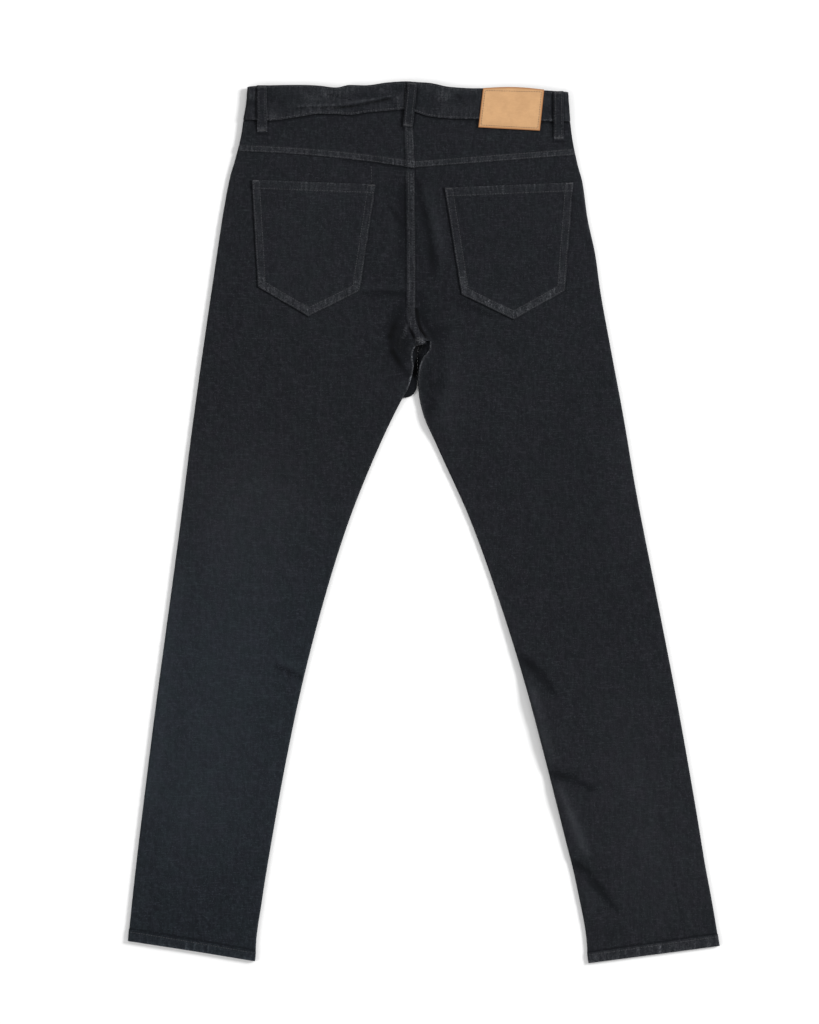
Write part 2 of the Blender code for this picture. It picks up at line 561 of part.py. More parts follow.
def coin_outline():
    """Plan of the coin pocket, inside the right pocket opening."""
    corner_x = look_up(RIGHT_SIDE, SCOOP_CORNER_Y)
    points = [(corner_x - across, y) for across, y in COIN_TOP]
    for k in range(SCOOP_STEPS - 1, 0, -1):
        angle = math.pi / 2 * k / SCOOP_STEPS
        across = COIN_ARC[0] * math.cos(angle)
        if across > COIN_TOP[1][0]:
            points.append((corner_x - across, SCOOP_CORNER_Y - COIN_ARC[1] * math.sin(angle)))
    return points


def facing_recess(distance, x, y):
    """How far a pocket facing lies behind the front panel."""
    from_edge = smooth((distance - FACING_START) / FACING_EASE)
    from_waist = smooth((FACING_TOP_Y - dip(x) - y) / FACING_TOP_EASE)
    return FACING_RECESS * from_edge * from_waist


def coin_recess(distance, x, y):
    """Place of the coin pocket's outside, just under the facing."""
    return facing_recess(distance, x, y) - COIN_THICKNESS - GAP


def band_lines(x):
    """Top and lower edge of the back of the waistband."""
    top = look_up([(r[0], r[1]) for r in BAND_BACK], x)
    low = look_up([(r[0], r[2]) for r in BAND_BACK], x)
    return top, low


def band_back_top(x, y):
    """Outside of the back of the waistband."""
    return BAND_BACK_TOP + fold_height("back", x, y) + fold_height("band", x, y)


BAND_ROWS = [0.0, 0.02, 0.2, 0.45, 0.7, 0.98, 1.0]
BAND_EDGE = [0.75, 0.1, 0.0, 0.0, 0.0, 0.1, 0.75]


def band_station(path, outer, inner, top, low, side=None, on_back=False):
    """Add one section of the waistband, between two places in x and z, to its path."""
    lines = ([], [])
    for share, ease in zip(BAND_ROWS, BAND_EDGE):
        y = low + (top - low) * share
        shift = look_up(side, y) - look_up(side, BAND_MIDDLE_Y) if side else 0.0
        lift = fold_height("back", outer[0], y) + fold_height("band", outer[0], y) if on_back else 0.0
        outside = Vector((outer[0] + shift, y, outer[1] + lift))
        inside = Vector((inner[0] + shift, y, inner[1] + lift))
        away = (inside - outside).normalized() * BAND_ROUND * ease
        lines[0].append(outside + away)
        lines[1].append(inside - away)
    path[0].append(lines[0])
    path[1].append(lines[1])


def front_station(path, turn, x, under, thickness):
    """One section on the front half of the waistband."""
    top = turn.front_top - dip(x)
    low = turn.front_low - dip(x) * BAND_LOW_DIP
    band_station(path, (x, under), (x, under + thickness), top, low)


def turn_stations(path, turn, start, top_from, top_to):
    """The half round of the waistband at one side."""
    radius = (BAND_BACK_TOP - BAND_FRONT_UNDER) / 2
    middle = (BAND_BACK_TOP + BAND_FRONT_UNDER) / 2
    centre = turn.x - math.copysign(radius, turn.x)
    for k in range(1, TURN_STEPS):
        share = k / TURN_STEPS
        angle = math.radians(start - 180.0 * share)
        cos, sin = math.cos(angle), math.sin(angle)
        outer, inner = [
            (centre + reach * cos, middle + reach * sin) for reach in (radius, radius - BAND_THICKNESS)
        ]
        band_station(path, outer, inner, top_from + (top_to - top_from) * share, turn.low, turn.side)


def make_waistband():
    """One strip round the waist, lapped at the centre front."""
    path = ([], [])
    for x in LEFT_STATIONS:
        front_station(path, LEFT_TURN, x, BAND_FRONT_UNDER, BAND_THICKNESS)
    turn_stations(path, LEFT_TURN, 270.0, LEFT_TURN.front_edge, BAND_BACK[0][1])
    for x, top, low in BAND_BACK:
        band_station(path, (x, BAND_BACK_TOP), (x, BAND_BACK_TOP - BAND_THICKNESS), top, low, on_back=True)
    turn_stations(path, RIGHT_TURN, 90.0, BAND_BACK[-1][1], RIGHT_TURN.front_edge)
    for x in RIGHT_STATIONS:
        front_station(path, RIGHT_TURN, x, BAND_FRONT_UNDER, BAND_THICKNESS)
    # The end that steps in behind the left part
    for x in LAPPED_STATIONS:
        front_station(path, RIGHT_TURN, x, BAND_FRONT_UNDER + BAND_THICKNESS + GAP, BAND_INNER_LAP)
    return solid_from_grids("waistband", *path)


def make_pocket(name, corners):
    """Patch pocket lying on its panel, thicker at the mouth."""
    left_top, right_top, right_low, tip, left_low = [Vector(c) for c in corners]
    outer = []
    inner = []
    depth = ((left_low - left_top).length + (right_low - right_top).length) / 2
    hem = POCKET_HEM / depth
    lines = POCKET_LINES[:2] + [hem - HEM_STEP, hem + HEM_STEP] + POCKET_LINES[2:]
    for v in lines:
        top_line = []
        low_line = []
        for u in POCKET_COLUMNS:
            mouth = left_top.lerp(right_top, u)
            base = left_low.lerp(tip, 2 * u) if u <= 0.5 else tip.lerp(right_low, 2 * u - 1)
            plan = mouth.lerp(base, v)
            level = back_top(*plan) + GAP
            thickness = WALL + (POCKET_HEM_RELIEF if v < hem else 0.0)
            if u in (0.0, 1.0) or v in (0.0, 1.0):
                thickness -= EDGE_ROUND
            top_line.append(Vector((plan.x, plan.y, level + thickness)))
            low_line.append(Vector((plan.x, plan.y, level)))
        outer.append(top_line)
        inner.append(low_line)
    return solid_from_grids(name, outer, inner)


def make_patch():
    """Leather patch over the waistband and the top of the yoke."""
    low_left, low_right, top_right, top_left = [Vector(c) for c in PATCH]
    outer = []
    inner = []
    for v in PATCH_LINES:
        top_line = []
        low_line = []
        for u in PATCH_COLUMNS:
            plan = low_left.lerp(low_right, u).lerp(top_left.lerp(top_right, u), v)
            arc = PATCH_ARC * math.sin(math.pi * u) * v
            edge = band_lines(plan.x)[1]
            level = band_back_top(*plan) + GAP - PATCH_DROP * smooth((edge - plan.y) / PATCH_DROP_LENGTH)
            thickness = PATCH_THICKNESS
            if u in (0.0, 1.0) or v in (0.0, 1.0):
                thickness -= EDGE_ROUND
            top_line.append(Vector((plan.x, plan.y + arc, level + thickness)))
            low_line.append(Vector((plan.x, plan.y + arc, level)))
        outer.append(top_line)
        inner.append(low_line)
    return solid_from_grids("leather_patch", outer, inner)


def loop_level(x, y, centre):
    """Height of a back belt loop's underside."""
    top, low = band_lines(x)
    over_band = band_back_top(x, y) + GAP
    over_yoke = back_top(x, y) + GAP + (LAP_STEP if centre else 0.0)
    share = smooth((low - y) / LOOP_DROP_LENGTH)
    bow = LOOP_BOW * math.sin(math.pi * min(max((top - y) / (top - low), 0.0), 1.0))
    return over_band + bow + (over_yoke - over_band) * share


def make_loop(name, top, low, level, facing):
    """Belt loop, a folded strip stitched at both ends."""
    top = Vector(top)
    low = Vector(low)
    along = (low - top).normalized()
    across = Vector((-along.y, along.x)) * LOOP_WIDTH / 2
    outer = []
    inner = []
    for v in LOOP_LINES:
        top_line = []
        low_line = []
        for u in LOOP_COLUMNS:
            centre = top.lerp(low, v)
            plan = centre + across * u
            height = level(centre.x, plan.y)
            thickness = LOOP_THICKNESS
            if abs(u) == 1.0 or v in (0.0, 1.0):
                thickness -= EDGE_ROUND
            top_line.append(Vector((plan.x, plan.y, height + facing * thickness)))
            low_line.append(Vector((plan.x, plan.y, height)))
        outer.append(top_line)
        inner.append(low_line)
    return solid_from_grids(name, outer, inner)


def front_loop_level(x, y):
    """Height of a front belt loop's inside, under the waistband and then under the front."""
    edge = FRONT_LOOP_EDGE_Y - dip(x) * BAND_LOW_DIP
    share = smooth((edge - y) / LOOP_DROP_LENGTH)
    under_band = BAND_FRONT_UNDER - GAP
    under_front = front_under(x, y) - GAP
    return max(under_band + (under_front - under_band) * share, LOOP_THICKNESS)


def make_button():
    """Flat round button with a raised rim, its face on the surface."""
    verts = []
    faces = []
    for radius, z in BUTTON_RINGS:
        for k in range(BUTTON_SIDES):
            angle = math.tau * k / BUTTON_SIDES
            x = BUTTON_CENTRE[0] + radius * math.cos(angle)
            y = BUTTON_CENTRE[1] + radius * math.sin(angle)
            verts.append((x, y, z))
    last = (len(BUTTON_RINGS) - 1) * BUTTON_SIDES
    for ring in range(0, last, BUTTON_SIDES):
        for k in range(BUTTON_SIDES):
            a = ring + k
            b = ring + (k + 1) % BUTTON_SIDES
            faces.append((a, b, b + BUTTON_SIDES, a + BUTTON_SIDES))
    faces.append(tuple(range(BUTTON_SIDES))[::-1])
    faces.append(tuple(range(last, last + BUTTON_SIDES)))
    return new_object("fly_button", verts, faces)


def material(name, colour, roughness, metallic):
    """Plain material in the colour of the photograph."""
    mat = bpy.data.materials.new(name)
    mat.use_nodes = True
    shader = mat.node_tree.nodes["Principled BSDF"]
    shader.inputs["Base Color"].default_value = (*colour, 1.0)
    shader.inputs["Roughness"].default_value = roughness
    shader.inputs["Metallic"].default_value = metallic
    mat.diffuse_color = (*colour, 1.0)
    return mat


def dress(obj, colour, roughness, metallic):
    """Give a node its own material and soft shading."""
    obj.data.materials.clear()
    obj.data.materials.append(material(obj.name + "_material", colour, roughness, metallic))
    obj.data.shade_smooth()
    obj.data.set_sharp_from_angle(angle=math.radians(40))


def main():
    """Build every piece."""
    for obj in list(bpy.data.objects):
        bpy.data.objects.remove(obj)

    leg_relief = (HEM_RELIEF, HEM_WIDER, 2 * HEM_RELIEF)
    front_relief = (0.0, HEM_WIDER, HEM_RELIEF)
    yoke_relief = (LAP_STEP, 0.0, 0.0)

    pieces = [
        panel("back_leg_left", LEFT_SEAT + LEFT_LEG, LEFT_SIDE, back_top, 1, LAP_STEP, leg_relief),
        panel("back_leg_right", RIGHT_SEAT + RIGHT_LEG, RIGHT_SIDE, back_top, 1, 0.0, leg_relief),
        panel("yoke_left", LEFT_YOKE, LEFT_SIDE, back_top, 1, LAP_STEP, yoke_relief),
        panel("yoke_right", RIGHT_YOKE, RIGHT_SIDE, back_top, 1, 0.0, yoke_relief),
    ]

    fronts = (
        ("left", LEFT_FRONT + LEFT_LEG, LEFT_SIDE, 0.0),
        ("right", RIGHT_FRONT + RIGHT_LEG, RIGHT_SIDE, -LAP_STEP),
    )
    for name, rows, side, step in fronts:
        front = panel("front_leg_" + name, rows, side, front_under, -1, step, front_relief)
        cut(front, scoop_outline(side, 0.0), "DIFFERENCE")
        cut(front, LAP_PLAN, "DIFFERENCE")
        pieces.append(front)
        facing = panel("pocket_facing_" + name, rows[:8], side, front_under, -1, step, recess=facing_recess)
        cut(facing, scoop_outline(side, GAP), "INTERSECT")
        pieces.append(facing)

    coin = panel(
        "coin_pocket", RIGHT_FRONT[:6], RIGHT_SIDE, front_under, -1,
        recess=coin_recess, wall=COIN_THICKNESS,
    )
    cut(coin, coin_outline(), "INTERSECT")
    pieces.append(coin)

    pieces.append(make_waistband())
    pieces.append(make_pocket("pocket_back_left", LEFT_POCKET))
    pieces.append(make_pocket("pocket_back_right", RIGHT_POCKET))
    pieces.append(make_patch())
    for name, top, low in BACK_LOOPS:
        centre = name.endswith("centre")
        pieces.append(make_loop(name, top, low, lambda x, y, c=centre: loop_level(x, y, c), 1))
    for name, top, low in FRONT_LOOPS:
        pieces.append(make_loop(name, top, low, front_loop_level, -1))
    pieces.append(make_button())

    for obj in pieces:
        dress(obj, *LOOKS.get(obj.name, DENIM))


main()
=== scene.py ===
import math
from collections import namedtuple

import bpy
import numpy as np
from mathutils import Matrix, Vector
from mathutils.bvhtree import BVHTree


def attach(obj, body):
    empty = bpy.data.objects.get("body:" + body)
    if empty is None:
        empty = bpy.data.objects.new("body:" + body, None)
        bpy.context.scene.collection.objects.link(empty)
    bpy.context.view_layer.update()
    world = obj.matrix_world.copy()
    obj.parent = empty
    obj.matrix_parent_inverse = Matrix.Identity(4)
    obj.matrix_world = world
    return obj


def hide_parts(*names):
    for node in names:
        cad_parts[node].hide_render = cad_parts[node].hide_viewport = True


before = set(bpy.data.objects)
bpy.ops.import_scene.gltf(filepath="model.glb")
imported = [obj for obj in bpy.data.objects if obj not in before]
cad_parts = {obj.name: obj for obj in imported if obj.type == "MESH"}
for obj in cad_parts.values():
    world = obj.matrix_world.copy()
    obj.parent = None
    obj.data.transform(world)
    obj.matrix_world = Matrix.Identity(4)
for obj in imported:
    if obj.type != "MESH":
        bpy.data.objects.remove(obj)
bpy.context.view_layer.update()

# Slim tapered jeans, laid flat with the back up. x runs across, y towards the waistband, z up.

cloth = {
    "wall": 0.0012,            # thickness of the denim
    "gap": 0.0003,             # between two pieces at a seam
    "roll": 0.0029,            # width over which a side seam rolls down
    "edgeRound": 0.00058,      # round of a cut and turned edge
    "backLevel": 0.0054,       # outside of the back panels above the floor
    "seamLevel": 0.0027,       # height of the side seams
    "backRise": 0.0016,        # climb of the back up to the waistband
    "frontRise": 0.0043,       # climb of the front up to the waistband
    "riseStart": 0.425,
    "riseEnd": 0.497,
    "frontDip": 0.016,         # how much lower the front of the waist lies
    "centreX": -0.0185,
    "halfWaist": 0.2,
    "swell": 0.00035,          # soft unevenness of the cloth as it lies
    "grain": 0.00010,          # finer unevenness
    "highWear": 190.0,         # how much paler a fold's top and darker a crease's hollow is drawn, a metre of height: painted highlight and painted shade, with some wear on the tops
}
cloth["lap"] = cloth["wall"] + cloth["gap"]

# One cut across a piece: where it meets the side and the middle, how far it bows, and what share of it
# laps, rolls, is set in or is folded double
Section = namedtuple("Section", "place outerY innerX innerY bow lap roll inset folded", defaults=(0,) * 5)
Form = namedtuple("Form", "place x0 y0 x1 y1 width height")

# Outer outlines of the two legs: y, x
leftSide = [
    (0.5444, -0.2199), (0.5219, -0.2216), (0.5019, -0.2251), (0.4869, -0.2270), (0.4519, -0.2354),
    (0.4331, -0.2411), (0.4144, -0.2452), (0.3019, -0.2629), (0.0956, -0.2919), (0.0019, -0.3034),
    (-0.2794, -0.3409), (-0.5056, -0.3674), (-0.5244, -0.3691),
]
rightSide = [
    (0.5369, 0.1799), (0.4869, 0.1841), (0.4464, 0.1919), (0.4240, 0.1980), (0.3790, 0.2044),
    (0.3340, 0.2140), (0.2891, 0.2203), (0.2216, 0.2324), (0.1317, 0.2492), (0.0418, 0.2644),
    (-0.0930, 0.2907), (-0.2278, 0.3168), (-0.3627, 0.3405), (-0.4301, 0.3516), (-0.4751, 0.3600),
    (-0.5300, 0.3692),
]

# Back edge of the waistband as it lies: x, top y, lower y
bandBack = [
    (-0.2160, 0.5428, 0.5012), (-0.1944, 0.5441, 0.5001), (-0.1531, 0.5446, 0.5052),
    (-0.1319, 0.5438, 0.5084), (-0.1094, 0.5414, 0.5081), (-0.0919, 0.5446, 0.5071),
    (-0.0731, 0.5441, 0.5099), (-0.0444, 0.5477, 0.5124), (-0.0219, 0.5490, 0.5141),
    (-0.0081, 0.5481, 0.5099), (0.0056, 0.5473, 0.5056), (0.0331, 0.5421, 0.5026),
    (0.0644, 0.5404, 0.5019), (0.1019, 0.5409, 0.5006), (0.1469, 0.5381, 0.4994),
    (0.1735, 0.5362, 0.4990),
]

leftYoke = [
    Section("tuck", 0.5095, -0.01465, 0.5205, inset=0.0037),
    Section("band line", 0.5013, -0.0143, 0.5110, inset=0.0037),
    Section("waist line", 0.5008, -0.0142, 0.5090, inset=0.0003),
    Section("below waist", 0.4975, -0.0140, 0.5040, lap=1),
    Section("upper", 0.4900, -0.0132, 0.4900, bow=0.0015, lap=1),
    Section("band top", 0.4709, -0.0116, 0.4509, bow=0.0037, lap=1),
    Section("band", 0.4684, -0.0114, 0.4481, bow=0.0037, lap=1, folded=1),
    Section("edge", 0.4619, -0.0112, 0.4406, bow=0.0037, lap=1, folded=1),
]
rightYoke = [
    Section("tuck", 0.5060, -0.01435, 0.5205, inset=0.0037),
    Section("band line", 0.4991, -0.0140, 0.5110, inset=0.0037),
    Section("waist line", 0.4986, -0.0139, 0.5090, inset=0.0003),
    Section("below waist", 0.4950, -0.0137, 0.5040),
    Section("upper", 0.4870, -0.0212, 0.4900),
    Section("band top", 0.4661, -0.0206, 0.4498),
    Section("band", 0.4639, -0.0205, 0.4474, folded=1),
    Section("edge", 0.4571, -0.0204, 0.4406, folded=1),
]

leftSeat = [
    Section("yoke tuck", 0.4669, -0.0112, 0.4462, bow=0.0037, inset=0.0016),
    Section("yoke edge", 0.4614, -0.0112, 0.4388, bow=0.0037, inset=0.0016),
    Section("below yoke", 0.4569, -0.0112, 0.4346, bow=0.0035, lap=1),
    Section("seam start", 0.4512, -0.0114, 0.4300, bow=0.003, lap=1),
    Section("pocket mouth", 0.4169, -0.0111, 0.4019, bow=0.002, lap=1),
    Section("hip", 0.3444, -0.0104, 0.3344, lap=1),
    Section("seat", 0.2619, -0.0106, 0.2569, lap=1),
    Section("above fork", 0.2394, -0.0062, 0.2406, lap=1),
    Section("fork top", 0.2294, 0.0006, 0.2306, lap=1),
    Section("fork", 0.2231, 0.0030, 0.2225, lap=1),
    Section("fork end", 0.2169, -0.0104, 0.2184, lap=0.5, roll=0.6),
    Section("lip", 0.2044, -0.0140, 0.2069, roll=1),
    Section("lip middle", 0.1919, -0.0127, 0.1944, roll=1),
    Section("lip foot", 0.1769, -0.0158, 0.1781, roll=1),
    Section("leg joins", 0.1644, -0.0204, 0.1644, roll=1),
]
rightSeat = [
    Section("yoke tuck", 0.4624, -0.0109, 0.4456, inset=0.0016),
    Section("yoke edge", 0.4566, -0.0109, 0.4401, inset=0.0016),
    Section("below yoke", 0.4519, -0.0109, 0.4332),
    Section("seam start", 0.4462, -0.0204, 0.4286),
    Section("pocket mouth", 0.4169, -0.0201, 0.4019),
    Section("hip", 0.3444, -0.0194, 0.3344),
    Section("seat", 0.2631, -0.0196, 0.2569),
    Section("above fork", 0.2406, -0.0152, 0.2406),
    Section("fork top", 0.2319, -0.0082, 0.2313),
    Section("fork", 0.2275, -0.0032, 0.2263),
    Section("lip top", 0.2225, 0.0076, 0.2248, roll=0.6),
    Section("lip", 0.2131, 0.0067, 0.2150, roll=1),
    Section("lip middle", 0.2019, -0.0013, 0.2038, roll=1),
    Section("lip foot", 0.1906, -0.0056, 0.1915, roll=1),
    Section("leg joins", 0.1769, -0.0072, 0.1775, roll=1),
]
leftLeg = [
    Section("upper thigh", 0.1519, -0.0262, 0.1544, roll=1),
    Section("thigh", 0.0919, -0.0555, 0.0944, roll=1),
    Section("mid thigh", 0.0019, -0.0957, -0.0056, roll=1),
    Section("above knee", -0.0931, -0.1270, -0.1069, roll=1),
    Section("knee", -0.1869, -0.1520, -0.2044, roll=1),
    Section("below knee", -0.2819, -0.1722, -0.3006, roll=1),
    Section("calf", -0.3756, -0.1900, -0.3994, roll=1),
    Section("lower calf", -0.4456, -0.2014, -0.4694, roll=1),
    Section("above hem", -0.5076, -0.2096, -0.5351, bow=0.0004, roll=1),
    Section("hem line", -0.5090, -0.2096, -0.5364, bow=0.0004, roll=1, folded=1),
    Section("hem", -0.5236, -0.2105, -0.5489, bow=0.0004, roll=1, folded=1),
]
rightLeg = [
    Section("upper thigh", 0.1594, -0.0063, 0.1600, roll=1),
    Section("thigh top", 0.1319, -0.0012, 0.1356, roll=1),
    Section("thigh", 0.0944, 0.0163, 0.0950, roll=1),
    Section("mid thigh", 0.0069, 0.0581, 0.0019, roll=1),
    Section("above knee", -0.0881, 0.0931, -0.0956, roll=1),
    Section("knee", -0.1831, 0.1247, -0.1969, roll=1),
    Section("below knee", -0.2781, 0.1509, -0.2944, roll=1),
    Section("calf", -0.3681, 0.1746, -0.3881, roll=1),
    Section("lower calf", -0.4456, 0.1916, -0.4581, roll=1),
    Section("above hem", -0.5141, 0.2041, -0.5375, roll=1),
    Section("hem line", -0.5155, 0.2041, -0.5388, roll=1, folded=1),
    Section("hem", -0.5296, 0.2056, -0.5512, roll=1, folded=1),
]
leftFront = [
    Section("tuck", 0.5090, -0.01865, 0.4945, inset=0.0037),
    Section("band line", 0.5012, -0.01865, 0.4868, inset=0.0037),
    Section("waist line", 0.5007, -0.01865, 0.4860, inset=0.0003),
    Section("fly top", 0.4644, -0.01825, 0.4480),
    Section("fly start", 0.4456, -0.01805, 0.4319, lap=1),
    Section("fly", 0.4369, -0.0135, 0.4244, lap=1),
    Section("hip", 0.3444, -0.0115, 0.3344, lap=1),
    Section("seat", 0.2769, -0.0085, 0.2674, lap=1),
    Section("fly end", 0.2694, -0.01015, 0.2604, lap=1),
    Section("crotch top", 0.2494, -0.00815, 0.2464),
    Section("crotch", 0.2244, -0.00615, 0.2244),
    Section("crotch middle", 0.2104, -0.00765, 0.2094),
    Section("crotch end", 0.1944, -0.00815, 0.1919),
    Section("crotch low", 0.1790, -0.00835, 0.1770),
    Section("split", 0.1680, -0.0089, 0.1665),
    Section("tip", 0.1600, -0.0165, 0.1562, roll=1),
    Section("tip foot", 0.1548, -0.0218, 0.1547, roll=1),
]
rightFront = [
    Section("tuck", 0.5055, -0.01835, 0.4945, inset=0.0037),
    Section("band line", 0.4990, -0.01835, 0.4868, inset=0.0037),
    Section("waist line", 0.4985, -0.01835, 0.4860, inset=0.0003),
    Section("fly top", 0.4624, -0.01795, 0.4480),
    Section("fly start", 0.4456, -0.01775, 0.4319, lap=1),
    Section("fly", 0.4369, -0.0225, 0.4244, lap=1),
    Section("hip", 0.3444, -0.0205, 0.3344, lap=1),
    Section("seat", 0.2769, -0.0175, 0.2674, lap=1),
    Section("fly end", 0.2694, -0.00985, 0.2604, lap=1),
    Section("crotch top", 0.2494, -0.00785, 0.2464),
    Section("crotch", 0.2244, -0.00585, 0.2244),
    Section("crotch middle", 0.2104, -0.00735, 0.2094),
    Section("crotch end", 0.1944, -0.00785, 0.1919),
    Section("crotch low", 0.1790, -0.00805, 0.1770),
    Section("split", 0.1680, -0.0070, 0.1665, roll=1),
]

